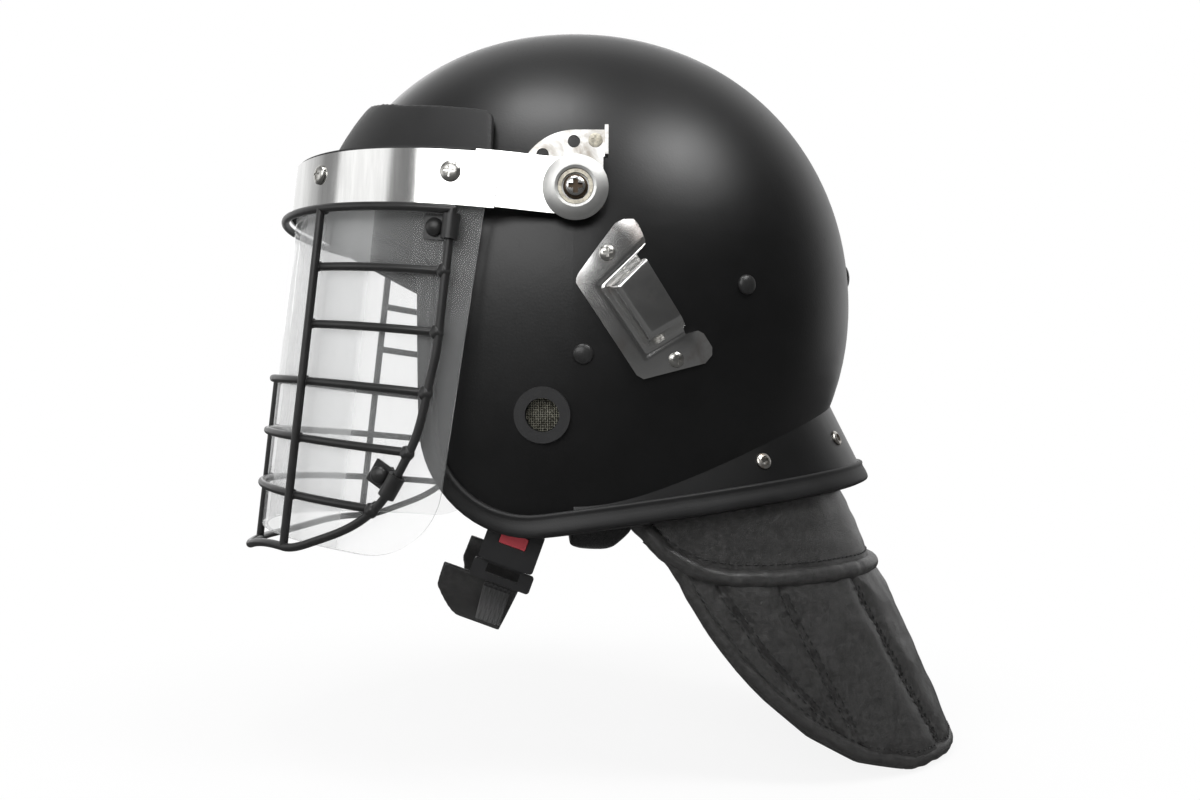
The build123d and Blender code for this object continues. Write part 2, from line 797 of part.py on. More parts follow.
plate_screw = cross_cut(button(plate_screw_radius, hook_screw_rise / 2, plate_screw_shank,
                               plate_outer_x - side_x(plate_screw_y, plate_screw_z, shell_wall) + seat_gap),
                        hook_screw_rise / 2, plate_screw_radius * recess_share, recess_width / 2,
                        recess_depth / 3)
plate_screw_plane = Plane(origin=(plate_outer_x, plate_screw_y, plate_screw_z),
                           x_dir=(0, 1, 0), z_dir=(1, 0, 0))
with BuildPart() as plate_screws:
    add(plate_screw.moved(plate_screw_plane.location))
    mirror(about=Plane.YZ)
save(plate_screws.part, "plate_screws")

# Spacer tube under each flat screw
with BuildPart() as plate_spacers:
    with BuildSketch(Plane(origin=(plate_inner_x, plate_screw_y, plate_screw_z),
                           x_dir=(0, 1, 0), z_dir=(1, 0, 0))):
        Circle(plate_screw_radius)
        Circle(plate_screw_shank + pivot_running, mode=Mode.SUBTRACT)
    extrude(amount=-(plate_inner_x - side_x(plate_screw_y, plate_screw_z, shell_wall)))
    add(dome(0), mode=Mode.SUBTRACT)
    mirror(about=Plane.YZ)
save(plate_spacers.part, "plate_spacers")

# Pivot bushes: a foot on the shell and a journal that carries the plate and the arm
bush_end_x = arm_outer_x + layer_gap
with BuildPart() as pivot_bushes:
    with BuildSketch(side_frame(plate_inner_x)):
        Circle(pivot_foot_radius)
    extrude(amount=inner_seat_x - plate_inner_x)
    with BuildSketch(side_frame(inner_seat_x)):
        Circle(pivot_bush_radius)
    extrude(amount=bush_end_x - inner_seat_x)
    with BuildSketch(side_frame(bush_end_x)):
        Circle(pivot_screw_radius + pivot_running)
    extrude(amount=inner_seat_x - bush_end_x, mode=Mode.SUBTRACT)
    add(outer_shell.part, mode=Mode.SUBTRACT)
    with BuildSketch(side_frame(bush_end_x)):
        Circle(pivot_foot_radius)
    extrude(amount=inner_seat_x + shell_wall / 2 - bush_end_x, mode=Mode.INTERSECT)
    mirror(about=Plane.YZ)
save(pivot_bushes.part, "pivot_bushes")

with BuildPart() as pivot_washers:
    with BuildSketch(side_frame(plate_outer_x)):
        Circle(pivot_foot_radius + foot_clear)
        Circle(pivot_bush_radius + pivot_running, mode=Mode.SUBTRACT)
    extrude(amount=arm_inner_x - plate_outer_x - layer_gap)
    mirror(about=Plane.YZ)
save(pivot_washers.part, "pivot_washers")

# Dished discs over the arms, a nylon ring in each recess, and the pivot screws
with BuildPart() as pivot_discs:
    with BuildSketch(Plane.XZ):
        with BuildLine():
            Polyline((pivot_screw_radius + pivot_running, 0), (disc_radius, 0), (disc_radius, disc_edge))
            RadiusArc((disc_radius, disc_edge), (disc_recess + disc_floor, disc_rise), -disc_radius)
            Polyline((disc_recess + disc_floor, disc_rise), (disc_recess, disc_rise - disc_floor / 3),
                     (disc_recess, disc_floor), (pivot_screw_radius + pivot_running, disc_floor),
                     (pivot_screw_radius + pivot_running, 0))
        make_face()
    revolve(axis=Axis.Z)
disc_solid = pivot_discs.part.moved(side_frame(disc_low_x).location)
with BuildPart() as pivot_discs:
    add(disc_solid)
    mirror(about=Plane.YZ)
save(pivot_discs.part, "pivot_discs")

ring_x = disc_low_x + disc_floor
with BuildPart() as pivot_rings:
    with BuildSketch(side_frame(ring_x)):
        Circle(ring_outer)
        Circle(ring_inner, mode=Mode.SUBTRACT)
    extrude(amount=ring_height)
    mirror(about=Plane.YZ)
save(pivot_rings.part, "pivot_rings")

nut_seat_x = inner_seat_x - inner_washer_height - seat_gap
screw_length = ring_x - nut_seat_x + inner_nut_height
pivot_screw = cross_cut(button(screw_head_radius, screw_head_height, pivot_screw_radius, screw_length),
                        screw_head_height, recess_arm, recess_width, recess_depth)
with BuildPart() as pivot_screws:
    add(pivot_screw.moved(side_frame(ring_x).location))
    mirror(about=Plane.YZ)
save(pivot_screws.part, "pivot_screws")

with BuildPart() as pivot_nuts:
    add(nut(inner_nut_flats, inner_nut_height, pivot_screw_radius).moved(side_frame(nut_seat_x).location))
    with BuildSketch(side_frame(nut_seat_x)):
        Circle(inner_washer_radius)
        Circle(pivot_screw_radius, mode=Mode.SUBTRACT)
    extrude(amount=inner_washer_height + shell_wall)
    add(dome(shell_wall), mode=Mode.INTERSECT)
    mirror(about=Plane.YZ)
save(pivot_nuts.part, "pivot_nuts")

# Visor frame of reference: the axis of a cylinder that leans forward at the bottom
lean = math.radians(visor_lean_deg)
visor_axis = Vector(0, math.sin(lean), math.cos(lean))
visor_back = Vector(0, math.cos(lean), -math.sin(lean))
visor_origin = Vector(0, visor_centre_y, visor_centre_z)


def visor_plane(height):
    """Plane square to the visor's axis at a height along it."""
    return Plane(origin=visor_origin + visor_axis * height, x_dir=(1, 0, 0), z_dir=visor_axis)


def on_visor(degrees, height, radius):
    """Plane on the visor's cylinder, facing out, with its x axis to the front on the left side."""
    turn = math.radians(degrees)
    out = Vector(math.sin(turn), 0, 0) - visor_back * math.cos(turn)
    return Plane(origin=visor_origin + visor_axis * height + out * radius,
                 x_dir=visor_axis.cross(out) * -1, z_dir=out)


def arc_sector(outer, inner, half_angle, start=0.0):
    """Ring sector about the front, or two of them from start to half_angle on both sides."""
    with BuildSketch() as sketch:
        with BuildLine():
            a = math.radians(start)
            b = math.radians(half_angle)
            spans = ((-b, b),) if start == 0 else ((a, b), (-b, -a))
            for low, high in spans:
                ends = [(r * math.sin(t), -r * math.cos(t)) for r, t in
                        ((outer, low), (outer, (low + high) / 2), (outer, high),
                         (inner, high), (inner, (low + high) / 2), (inner, low))]
                ThreePointArc(*ends[:3])
                Line(ends[2], ends[3])
                ThreePointArc(*ends[3:])
                Line(ends[5], ends[0])
        make_face()
    return sketch.sketch


# Polished band over the brow
pivot_height = (Vector(0, pivot_y, pivot_z) - visor_origin).dot(visor_axis)
pivot_back = (Vector(0, pivot_y, pivot_z) - visor_origin).dot(visor_back)
band_inner = band_radius - band_thickness
with BuildPart() as visor_band:
    with BuildSketch(visor_plane(band_low)):
        add(arc_sector(band_radius, band_inner, band_end_deg))
    extrude(amount=band_height)
    for degrees in band_screw_degs:
        for side in (-1, 1):
            with BuildSketch(on_visor(degrees * side, band_screw_height, band_radius)):
                Circle(band_screw_shank + pivot_running)
            extrude(amount=band_thickness * 4, both=True, mode=Mode.SUBTRACT)
save(visor_band.part, "visor_band")

# Side arms from the band back to the pivots
arm_low = pivot_height - arm_end_radius
arm_rear = 2 * arm_end_radius
arm_mid_x = (arm_inner_x + arm_outer_x) / 2
with BuildPart() as arm_left:
    with BuildSketch(visor_plane(arm_low)):
        add(arc_sector(arm_outer_x, arm_inner_x, 90, arm_front_deg))
        with Locations((arm_mid_x, pivot_back / 2)):
            Rectangle(arm_thickness, pivot_back)
        with Locations((arm_mid_x, arm_rear)):
            Rectangle(2 * arm_rear, 6 * arm_rear, mode=Mode.INTERSECT)
    extrude(amount=2 * arm_end_radius)
    with BuildSketch(side_frame(arm_inner_x)):
        Circle(arm_end_radius)
    extrude(amount=arm_thickness)
    with BuildSketch(side_frame(arm_inner_x - arm_thickness)):
        Circle(pivot_bush_radius + pivot_running)
    extrude(amount=arm_thickness * 4, mode=Mode.SUBTRACT)
with BuildPart() as arm_right:
    add(arm_left.part)
    mirror(about=Plane.YZ, mode=Mode.REPLACE)
save(arm_left.part, "arm_left")
save(arm_right.part, "arm_right")

# Detent pegs riveted to the arms
peg_turn = math.radians(detent_start_deg)
peg_plane = Plane(origin=(plate_outer_x + detent_peg_gap, pivot_y + detent_radius * math.cos(peg_turn),
                          pivot_z + detent_radius * math.sin(peg_turn)), x_dir=(0, 1, 0), z_dir=(1, 0, 0))
with BuildPart() as detent_pegs:
    with BuildSketch(peg_plane):
        Circle(detent_peg_radius)
    extrude(amount=arm_inner_x - plate_outer_x - detent_peg_gap)
    mirror(about=Plane.YZ)
save(detent_pegs.part, "detent_pegs")

# Clear visor sheet
sheet_inner = sheet_radius - sheet_thickness
sheet_top = band_low + sheet_top_overlap
with BuildSketch() as sheet_side:
    with BuildLine():
        Polyline((-cut_reach, sheet_bottom), (sheet_low_rear_v, sheet_bottom), (sheet_rear_v, sheet_top),
                 (-cut_reach, sheet_top), close=True)
    make_face()
    fillet(sheet_side.vertices().sort_by_distance((sheet_low_rear_v, sheet_bottom))[0], sheet_corner)
visor_side = Plane(origin=visor_origin, x_dir=visor_back, z_dir=(1, 0, 0))
with BuildPart() as visor_sheet:
    with BuildSketch(visor_plane(sheet_bottom)):
        add(arc_sector(sheet_radius, sheet_inner, sheet_half_deg))
    extrude(amount=sheet_top - sheet_bottom)
    with BuildSketch(visor_side):
        add(sheet_side.sketch)
    extrude(amount=cut_reach, both=True, mode=Mode.INTERSECT)
    for degrees in band_screw_degs:
        for side in (-1, 1):
            with BuildSketch(on_visor(degrees * side, band_screw_height, sheet_radius)):
                Circle(band_screw_shank + pivot_running)
            extrude(amount=sheet_thickness * 2, both=True, mode=Mode.SUBTRACT)
    for degrees, height in zip(clamp_screw_degs, clamp_screw_heights):
        for side in (-1, 1):
            with BuildSketch(on_visor(degrees * side, height, sheet_radius)):
                Circle(clamp_shank + pivot_running)
            extrude(amount=sheet_thickness * 2, both=True, mode=Mode.SUBTRACT)
save(visor_sheet.part, "visor_sheet")

# Rubber gasket between the sheet and the band
with BuildPart() as band_gasket:
    with BuildSketch(visor_plane(band_low + band_height - gasket_drop)):
        add(arc_sector(band_inner - layer_gap / 2, sheet_radius + layer_gap / 2, arm_front_deg - 1))
    extrude(amount=gasket_drop + gasket_rise)
    for degrees in band_screw_degs:
        for side in (-1, 1):
            with BuildSketch(on_visor(degrees * side, band_screw_height, band_radius)):
                Circle(band_screw_shank + pivot_running)
            extrude(amount=band_thickness * 5, both=True, mode=Mode.SUBTRACT)
save(band_gasket.part, "band_gasket")

# Band screws and their nuts
band_screw = cross_cut(button(band_screw_radius, band_screw_rise, band_screw_shank,
                              band_radius - sheet_inner + band_nut_height + seat_gap),
                       band_screw_rise, band_screw_radius * recess_share, recess_width / 2, recess_depth / 2)
with BuildPart() as band_screws:
    for degrees in band_screw_degs:
        for side in (-1, 1):
            seat = on_visor(degrees * side, band_screw_height, band_radius + layer_gap)
            add(band_screw.moved(seat.location))
save(band_screws.part, "band_screws")
with BuildPart() as band_nuts:
    for degrees in band_screw_degs:
        for side in (-1, 1):
            seat = on_visor(degrees * side, band_screw_height, sheet_inner - seat_gap)
            band_nut = nut(2 * band_nut_radius, band_nut_height, band_screw_shank + pivot_running)
            add(band_nut.moved(seat.location))
save(band_nuts.part, "band_nuts")

# Cage: side frame wires, brow and chin wires, uprights and cross bars
bar_heights = [bar_top - i * bar_pitch for i in range(6)]


def on_cage(degrees, height, radius=cage_radius):
    """Point on the cage's cylinder."""
    return on_visor(degrees, height, radius).origin


def wire(path_edges, start):
    """Round wire swept along a path."""
    with BuildPart() as piece:
        with BuildLine() as route:
            add(path_edges)
        with BuildSketch(Plane(origin=route.line @ 0, z_dir=route.line % 0)):
            Circle(start)
        sweep()
    return piece.part


def ring_bar(height, low_deg, high_deg, radius=cage_radius):
    """Piece of a wire ring at a height, from one angle to another."""
    with BuildLine() as route:
        ThreePointArc(on_cage(low_deg, height, radius), on_cage((low_deg + high_deg) / 2, height, radius),
                      on_cage(high_deg, height, radius))
    return wire(route.line, wire_radius)


corner_span = cage_corner_top - cage_low
corner_points = [on_cage(degrees, cage_corner_top - corner_span * share)
                 for degrees, share in zip(cage_corner_degs, cage_corner_drop_shares)]
low_tangent = on_cage(upright_deg - 1, cage_low) - on_cage(upright_deg, cage_low)
with BuildLine() as side_route:
    Line(on_cage(cage_side_deg, bar_top), corner_points[0])
    Spline(*corner_points, tangents=(-visor_axis, low_tangent))
side_wire = wire(side_route.line, wire_radius)
bar_inner_radius = cage_radius - 2 * wire_radius + weld_depth
dip_low = cage_low - cage_bottom_dip
dip_mid = cage_low - cage_bottom_dip * cage_dip_share
with BuildLine() as chin_route:
    Spline(on_cage(-upright_deg, cage_low), on_cage(-upright_deg / 2, dip_mid), on_cage(0, dip_low),
           on_cage(upright_deg / 2, dip_mid), on_cage(upright_deg, cage_low),
           tangents=(on_cage(1 - upright_deg, cage_low) - on_cage(-upright_deg, cage_low), -low_tangent))
cage_corners = [on_cage(side * cage_side_deg, bar_top) for side in (-1, 1)]
cage_corners += [on_cage(side * upright_deg, cage_low) for side in (-1, 1)]
with BuildPart() as cage_frame:
    add(ring_bar(bar_top, -cage_side_deg, cage_side_deg))
    add(side_wire)
    mirror(side_wire, about=Plane.YZ)
    add(wire(chin_route.line, wire_radius))
    with Locations(*cage_corners):
        Sphere(wire_radius)
save(cage_frame.part, "cage_frame")

with BuildPart() as cage_uprights:
    for degrees in (-upright_deg, upright_deg):
        with BuildSketch(Plane(origin=on_cage(degrees, bar_top), z_dir=-visor_axis)):
            Circle(wire_radius)
        extrude(amount=bar_top - cage_low)
    with BuildSketch(Plane(origin=on_cage(0, bar_heights[3] + wire_radius), z_dir=-visor_axis)):
        Circle(wire_radius)
    extrude(amount=bar_heights[3] + wire_radius - dip_low)
    add(cage_frame.part, mode=Mode.SUBTRACT)
save(cage_uprights.part, "cage_uprights")

with BuildPart() as cage_side_bars:
    for height in bar_heights[1:3]:
        for side in (-1, 1):
            add(ring_bar(height, side * (upright_deg - bar_meet_deg), side * cage_side_deg,
                         bar_inner_radius))
    add(cage_frame.part, mode=Mode.SUBTRACT)
    add(cage_uprights.part, mode=Mode.SUBTRACT)
save(cage_side_bars.part, "cage_side_bars")
with BuildPart() as cage_cross_bars:
    for height, reach in zip(bar_heights[3:], bar_reach_degs):
        add(ring_bar(height, -reach, reach, bar_inner_radius))
    add(cage_frame.part, mode=Mode.SUBTRACT)
    add(cage_uprights.part, mode=Mode.SUBTRACT)
save(cage_cross_bars.part, "cage_cross_bars")

# Clamps: a strap round the side wire and a flat tab screwed to the sheet
clamp_solids = []
screw_planes = []
for degrees, height, turn, clamp_reach in zip(clamp_screw_degs, clamp_screw_heights,
                                              clamp_turns_deg, clamp_reaches):
    seat = on_visor(degrees, height, sheet_radius + layer_gap)
    screw_planes.append(seat)
    across = clamp_reach * math.cos(math.radians(turn))
    wire_rise = math.sqrt(cage_radius ** 2 - across ** 2) - sheet_radius - layer_gap
    with BuildPart() as clamp:
        with BuildSketch(Plane.XZ.offset(-clamp_width / 2)):
            with Locations((-clamp_reach, wire_rise)):
                Circle(wire_radius + clamp_bore_gap + clamp_wall)
            with Locations(((clamp_front - clamp_reach) / 2, clamp_wall / 2)):
                Rectangle(clamp_reach + clamp_front, clamp_wall)
            with Locations((-clamp_reach, wire_rise)):
                Circle(wire_radius + clamp_bore_gap, mode=Mode.SUBTRACT)
            with Locations((0, cut_reach / 2)):
                Rectangle(cut_reach, cut_reach, mode=Mode.INTERSECT)
        extrude(amount=clamp_width)
        with BuildSketch(Plane.XY):
            Circle(clamp_shank + pivot_running)
        extrude(amount=clamp_wall * 4, both=True, mode=Mode.SUBTRACT)
    clamp_solids.append(clamp.part.rotate(Axis.Z, -turn).moved(seat.location))
with BuildPart() as cage_clamps:
    add(clamp_solids)
    mirror(about=Plane.YZ)
save(cage_clamps.part, "cage_clamps")
clamp_screw = button(clamp_screw_radius, clamp_screw_rise, clamp_shank,
                     clamp_wall + sheet_thickness + clamp_nut_height + seat_gap)
with BuildPart() as clamp_screws:
    for seat in screw_planes:
        add(clamp_screw.moved(seat.offset(clamp_wall + layer_gap).location))
    mirror(about=Plane.YZ)
save(clamp_screws.part, "clamp_screws")
with BuildPart() as clamp_nuts:
    for seat in screw_planes:
        add(nut(2 * clamp_nut_radius, clamp_nut_height, clamp_shank + pivot_running)
            .moved(seat.offset(-sheet_thickness - layer_gap - seat_gap).location))
    mirror(about=Plane.YZ)
save(clamp_nuts.part, "clamp_nuts")


# Neck guard: leather rings round the nape
def guard_oval(z, inset):
    """Horizontal oval of the neck guard."""
    drop = guard_top - z
    half = guard_half_width + drop * guard_side_slope - inset
    rear = guard_rear_reach + drop * guard_rear_slope - inset
    with BuildSketch(Plane.XY.offset(z)) as sketch:
        with BuildLine():
            EllipticalCenterArc((0, guard_centre_y), half, rear, start_angle=0, arc_size=180)
            EllipticalCenterArc((0, guard_centre_y), half, half, start_angle=180, arc_size=180)
        make_face()
    return sketch.sketch.faces()[0]


def guard_ring(face, outer_inset, inner_inset):
    """Layer of the neck guard between two insets, inside a side view outline."""
    with BuildPart() as piece:
        loft(sections=[guard_oval(guard_bottom, outer_inset), guard_oval(guard_top, outer_inset)])
        loft(sections=[guard_oval(guard_bottom, inner_inset), guard_oval(guard_top, inner_inset)],
             mode=Mode.SUBTRACT)
        with BuildSketch(Plane.YZ):
            add(face)
        extrude(amount=cut_reach, both=True, mode=Mode.INTERSECT)
    return piece.part


collar_face = outline(((collar_front_y, collar_top), (cut_reach, collar_top), (cut_reach, collar_low),
                       (piping_front_y + collar_thickness, collar_low),
                       (collar_front_y, collar_low + collar_rise)))
with BuildPart() as neck_collar:
    add(guard_ring(collar_face, 0, collar_thickness))
save(neck_collar.part, "neck_collar")


def gusset_oval(z, half, rear):
    """Half oval of the gusset at a height."""
    with BuildSketch(Plane.XY.offset(z)) as sketch:
        with BuildLine():
            EllipticalCenterArc((0, dome_centre_y), half, rear, start_angle=0, arc_size=180)
            Line((-half, dome_centre_y), (half, dome_centre_y))
        make_face()
    return sketch.sketch.faces()[0]


flare_rear = level_sizes(flare_top, 0)[1]
gusset_levels = []
for z in (gusset_top, gusset_mid):
    drop = flare_top - z
    gusset_levels.append((z, flare_half_width + drop * flare_side_slope - shell_wall - seat_gap,
                          flare_rear + drop * flare_rear_slope - shell_wall - 2 * seat_gap))
collar_drop = guard_top - gusset_low
gusset_levels.append((gusset_low,
                      guard_half_width + collar_drop * guard_side_slope - collar_thickness - seat_gap,
                      guard_centre_y - dome_centre_y + guard_rear_reach + collar_drop * guard_rear_slope
                      - collar_thickness - seat_gap))
gusset_face = outline(((collar_front_y, gusset_top), (cut_reach, gusset_top), (cut_reach, gusset_low),
                       (collar_front_y, gusset_low)))
with BuildPart() as neck_gusset:
    loft(sections=[gusset_oval(z, half, rear) for z, half, rear in gusset_levels], ruled=True)
    loft(sections=[gusset_oval(z, half - gusset_leather, rear - gusset_leather)
                   for z, half, rear in gusset_levels],
         ruled=True, mode=Mode.SUBTRACT)
    with BuildSketch(Plane.YZ):
        add(gusset_face)
    extrude(amount=cut_reach, both=True, mode=Mode.INTERSECT)
    add(outer_shell.part, mode=Mode.SUBTRACT)
    add(edge_trim.part, mode=Mode.SUBTRACT)
    add(neck_collar.part, mode=Mode.SUBTRACT)
    for y, z in nape_rivet_places:
        with BuildSketch(flare_plane(y, z)):
            Circle(nape_rivet_bore + nape_rivet_rise / 2)
        extrude(amount=shell_wall * 4, both=True, mode=Mode.SUBTRACT)
        with BuildSketch(flare_plane(y, z)):
            Circle(nape_rivet_bore + nape_rivet_rise / 2)
        hole = extrude(amount=shell_wall * 4, both=True, mode=Mode.PRIVATE)
        add(mirror(hole, about=Plane.YZ, mode=Mode.PRIVATE), mode=Mode.SUBTRACT)
    gusset_main = solids().sort_by(SortBy.VOLUME)[-1]
save(Part(gusset_main.wrapped), "neck_gusset")

# Rolled piping along the collar's lower edge
piping_drop = guard_top - piping_level
piping_half = guard_half_width + piping_drop * guard_side_slope - collar_thickness / 2
piping_rear = guard_rear_reach + piping_drop * guard_rear_slope - collar_thickness / 2
piping_end = [(piping_half, piping_front_y - piping_front_rise / 2, piping_level + piping_front_rise),
              (piping_half, piping_front_y + piping_radius, piping_level + piping_front_rise / 5)]
piping_arc = [(piping_half * math.cos(math.radians(t)),
               guard_centre_y + piping_rear * math.sin(math.radians(t)),
               piping_level) for t in range(15, 180, 15)]
piping_points = piping_end + piping_arc + [(-x, y, z) for x, y, z in reversed(piping_end)]
with BuildLine() as piping_route:
    Spline(*piping_points)
with BuildPart() as collar_piping:
    add(wire(piping_route.line, piping_radius))
    add(neck_collar.part, mode=Mode.SUBTRACT)
save(collar_piping.part, "collar_piping")

# Flap: two leather layers and a bound edge
with BuildSketch() as flap_sketch:
    with BuildLine():
        ThreePointArc((flap_front_y, flap_top), flap_low_front, flap_low_mid)
        ThreePointArc(flap_low_mid, flap_low_turn, flap_low_rear)
        Polyline(flap_low_rear, flap_tail, (flap_tail[0], flap_top + 3 * binding_width),
                 (flap_front_y, flap_top + 3 * binding_width), (flap_front_y, flap_top))
    make_face()
with BuildSketch() as flap_top_cut:
    with Locations((0, flap_top - cut_reach / 2)):
        Rectangle(3 * cut_reach, cut_reach)
with BuildSketch() as flap_face:
    add(flap_sketch.sketch)
    offset(amount=-binding_wall, kind=Kind.INTERSECTION)
    add(flap_top_cut.sketch, mode=Mode.INTERSECT)
with BuildSketch() as binding_face:
    add(flap_sketch.sketch)
    with BuildSketch(mode=Mode.PRIVATE) as core:
        add(flap_sketch.sketch)
        offset(amount=-binding_width, kind=Kind.INTERSECTION)
    add(core.sketch, mode=Mode.SUBTRACT)
    add(flap_top_cut.sketch, mode=Mode.INTERSECT)
with BuildPart() as neck_flap:
    add(guard_ring(flap_face.sketch, 0, flap_layer))
save(neck_flap.part, "neck_flap")
with BuildPart() as flap_lining:
    add(guard_ring(flap_face.sketch, flap_layer, 2 * flap_layer))
save(flap_lining.part, "flap_lining")
with BuildPart() as flap_binding:
    add(guard_ring(binding_face.sketch, -binding_wall, 2 * flap_layer + binding_wall))
    add(neck_flap.part, mode=Mode.SUBTRACT)
    add(flap_lining.part, mode=Mode.SUBTRACT)
save(flap_binding.part, "flap_binding")

# Chin harness frame of reference: x across, y down along the webbing
harness_lean = math.radians(harness_lean_deg)
harness_down = Vector(0, -math.sin(harness_lean), -math.cos(harness_lean))
harness_back = Vector(0, math.cos(harness_lean), -math.sin(harness_lean))
harness = Plane(origin=(0, anchor_y, anchor_z), x_dir=(1, 0, 0), z_dir=harness_back)


def webbing(points, width=webbing_width):
    """Flat webbing along a route in the harness plane."""
    with BuildPart() as piece:
        with BuildSketch(harness):
            with BuildLine():
                Polyline(*points)
            trace(line_width=webbing_thickness)
        extrude(amount=width / 2, both=True)
    return piece.part


anchor_x = side_x(anchor_y, anchor_z, shell_wall) - strap_wall_gap - webbing_thickness / 2
bend_point = harness.from_local_coords((0, strap_bend_depth, 0))
bend_x = side_x(bend_point.Y, bend_point.Z, shell_wall + trim_wall) - strap_wall_gap - webbing_thickness / 2
strap_route = ((anchor_x, -strap_end_depth), (bend_x, strap_bend_depth))
with BuildPart() as strap_left:
    add(webbing(strap_route + ((buckle_x, socket_top - 2 * webbing_thickness),
                               (buckle_x, socket_top - seat_gap))))
save(strap_left.part, "strap_left")
ring_top = hanger_depth - hanger_ring_gap + hanger_ring_wire
with BuildPart() as strap_right:
    add(webbing(strap_route + ((buckle_x, ring_top - 2 * webbing_thickness),
                               (buckle_x, ring_top - hanger_ring_wire
                                                                             - seat_gap))))
    mirror(about=Plane.YZ, mode=Mode.REPLACE)
save(strap_right.part, "strap_right")

# Anchors: plate and rivet that hold each strap to the shell's inside
with BuildPart() as strap_anchors:
    with BuildSketch(Plane(origin=(anchor_x + webbing_thickness / 2 + seat_gap / 2, anchor_y, anchor_z),
                           x_dir=(0, 1, 0), z_dir=(1, 0, 0))):
        Circle(anchor_plate_radius / 2)
    extrude(amount=strap_wall_gap + shell_wall)
    add(dome(shell_wall), mode=Mode.INTERSECT)
    mirror(about=Plane.YZ)
save(strap_anchors.part, "strap_anchors")

# Buckle socket, release button and tongue
socket_mid = socket_top + socket_length / 2
socket_plane = Plane(origin=harness.from_local_coords((buckle_x, 0, 0)), x_dir=harness_back,
                     z_dir=(1, 0, 0))
slot_half = tongue_thickness / 2 + tongue_clear
button_x = socket_depth / 2 - button_inset
with BuildPart() as buckle_socket:
    with BuildSketch(socket_plane.offset(-socket_depth / 2)):
        with Locations((0, -socket_mid)):
            RectangleRounded(socket_width, socket_length, socket_wall)
    extrude(amount=socket_depth)
    with BuildSketch(socket_plane.offset(-slot_half)):
        with Locations((0, -socket_mid - socket_wall)):
            Rectangle(tongue_width + 2 * tongue_clear, socket_length)
    extrude(amount=2 * slot_half, mode=Mode.SUBTRACT)
    with BuildSketch(socket_plane.offset(button_x)):
        with Locations((0, -button_depth)):
            Rectangle(button_width + 2 * seat_gap, button_length + 2 * seat_gap)
    extrude(amount=socket_depth, mode=Mode.SUBTRACT)
save(buckle_socket.part, "buckle_socket")
with BuildPart() as release_button:
    with BuildSketch(socket_plane.offset(socket_depth / 2 + button_proud - button_thickness)):
        with Locations((0, -button_depth)):
            RectangleRounded(button_width, button_length, button_proud)
    extrude(amount=button_thickness)
save(release_button.part, "release_button")

tongue_tip = socket_top + 2 * socket_wall
socket_end = socket_top + socket_length
bar_at = socket_end + tongue_bar / 2 + tongue_slot_length
with BuildPart() as buckle_tongue:
    with BuildSketch(socket_plane.offset(-tongue_thickness / 2)):
        with Locations((0, -(tongue_tip + bar_at) / 2)):
            Rectangle(tongue_width, bar_at - tongue_tip)
        with Locations((0, -(socket_end + bar_at + tongue_bar + tongue_clear) / 2)):
            RectangleRounded(tongue_frame_width, bar_at + tongue_bar - socket_end - tongue_clear, socket_wall)
        with Locations((0, -bar_at + tongue_slot_length / 2)):
            Rectangle(tongue_width - 2 * socket_wall, tongue_slot_length, mode=Mode.SUBTRACT)
    extrude(amount=tongue_thickness)
save(buckle_tongue.part, "buckle_tongue")

# Chin cup and the webbing that carries it
cup_plane = Plane(origin=harness.origin, x_dir=harness_back, z_dir=(1, 0, 0))
cup_side = outline(((cup_front, -cup_top), (cup_rear, -cup_top), (cup_low_rear, -cup_bottom - cup_wall),
                    (cup_low_front, -cup_bottom - cup_wall), (cup_front, -cup_shoulder)))
with BuildPart() as chin_cup:
    with BuildSketch(harness.offset(cup_front)):
        with Locations((0, cup_top)):
            Ellipse(cup_half_width, cup_bottom - cup_top)
            Ellipse(cup_half_width - cup_wall, cup_bottom - cup_top - cup_wall, mode=Mode.SUBTRACT)
        with Locations((0, cup_top + cup_half_width / 2 + cup_wall)):
            Rectangle(3 * cup_half_width, cup_half_width, mode=Mode.INTERSECT)
    extrude(amount=cup_rear - cup_front)
    with BuildSketch(cup_plane):
        add(cup_side)
    extrude(amount=cut_reach, both=True, mode=Mode.INTERSECT)
save(chin_cup.part, "chin_cup")
join_gap = webbing_thickness / 2 + seat_gap
join_across = cup_half_width + join_gap
join_down = cup_bottom - cup_top + join_gap


def chin_route_from(depth):
    """Route of the webbing from a depth below the buckle or ring to where it meets the cup."""
    start = depth + webbing_thickness
    across_share = buckle_x / join_across
    down_share = (start - cup_top) / join_down
    turn = math.atan2(down_share, across_share) + math.acos(1 / math.hypot(across_share, down_share))
    meet = (join_across * math.cos(turn), cup_top + join_down * math.sin(turn))
    return (buckle_x, depth), (buckle_x, start), meet


chin_width = 2 * cup_low_rear + tongue_clear
with BuildPart() as chin_straps:
    add(webbing(chin_route_from(hanger_depth + hanger_ring_gap + seat_gap), chin_width))
    mirror(about=Plane.YZ, mode=Mode.REPLACE)
    add(webbing(chin_route_from(bar_at + tongue_bar + seat_gap), chin_width))
save(chin_straps.part, "chin_straps")

# Wire ring that joins the right strap to the chin straps
with BuildPart() as hanger_ring:
    ring_plane = Plane(origin=harness.from_local_coords((-buckle_x, 0, 0)), x_dir=harness_back,
                   z_dir=(1, 0, 0))
    with BuildSketch(ring_plane.offset(-hanger_ring_wire / 2)):
        with Locations((0, -hanger_depth)):
            RectangleRounded(tongue_frame_width, 2 * hanger_ring_gap, hanger_ring_wire)
            RectangleRounded(tongue_frame_width - 2 * hanger_ring_wire,
                             2 * hanger_ring_gap - 2 * hanger_ring_wire,
                             hanger_ring_wire / 2, mode=Mode.SUBTRACT)
    extrude(amount=hanger_ring_wire)
save(hanger_ring.part, "hanger_ring")
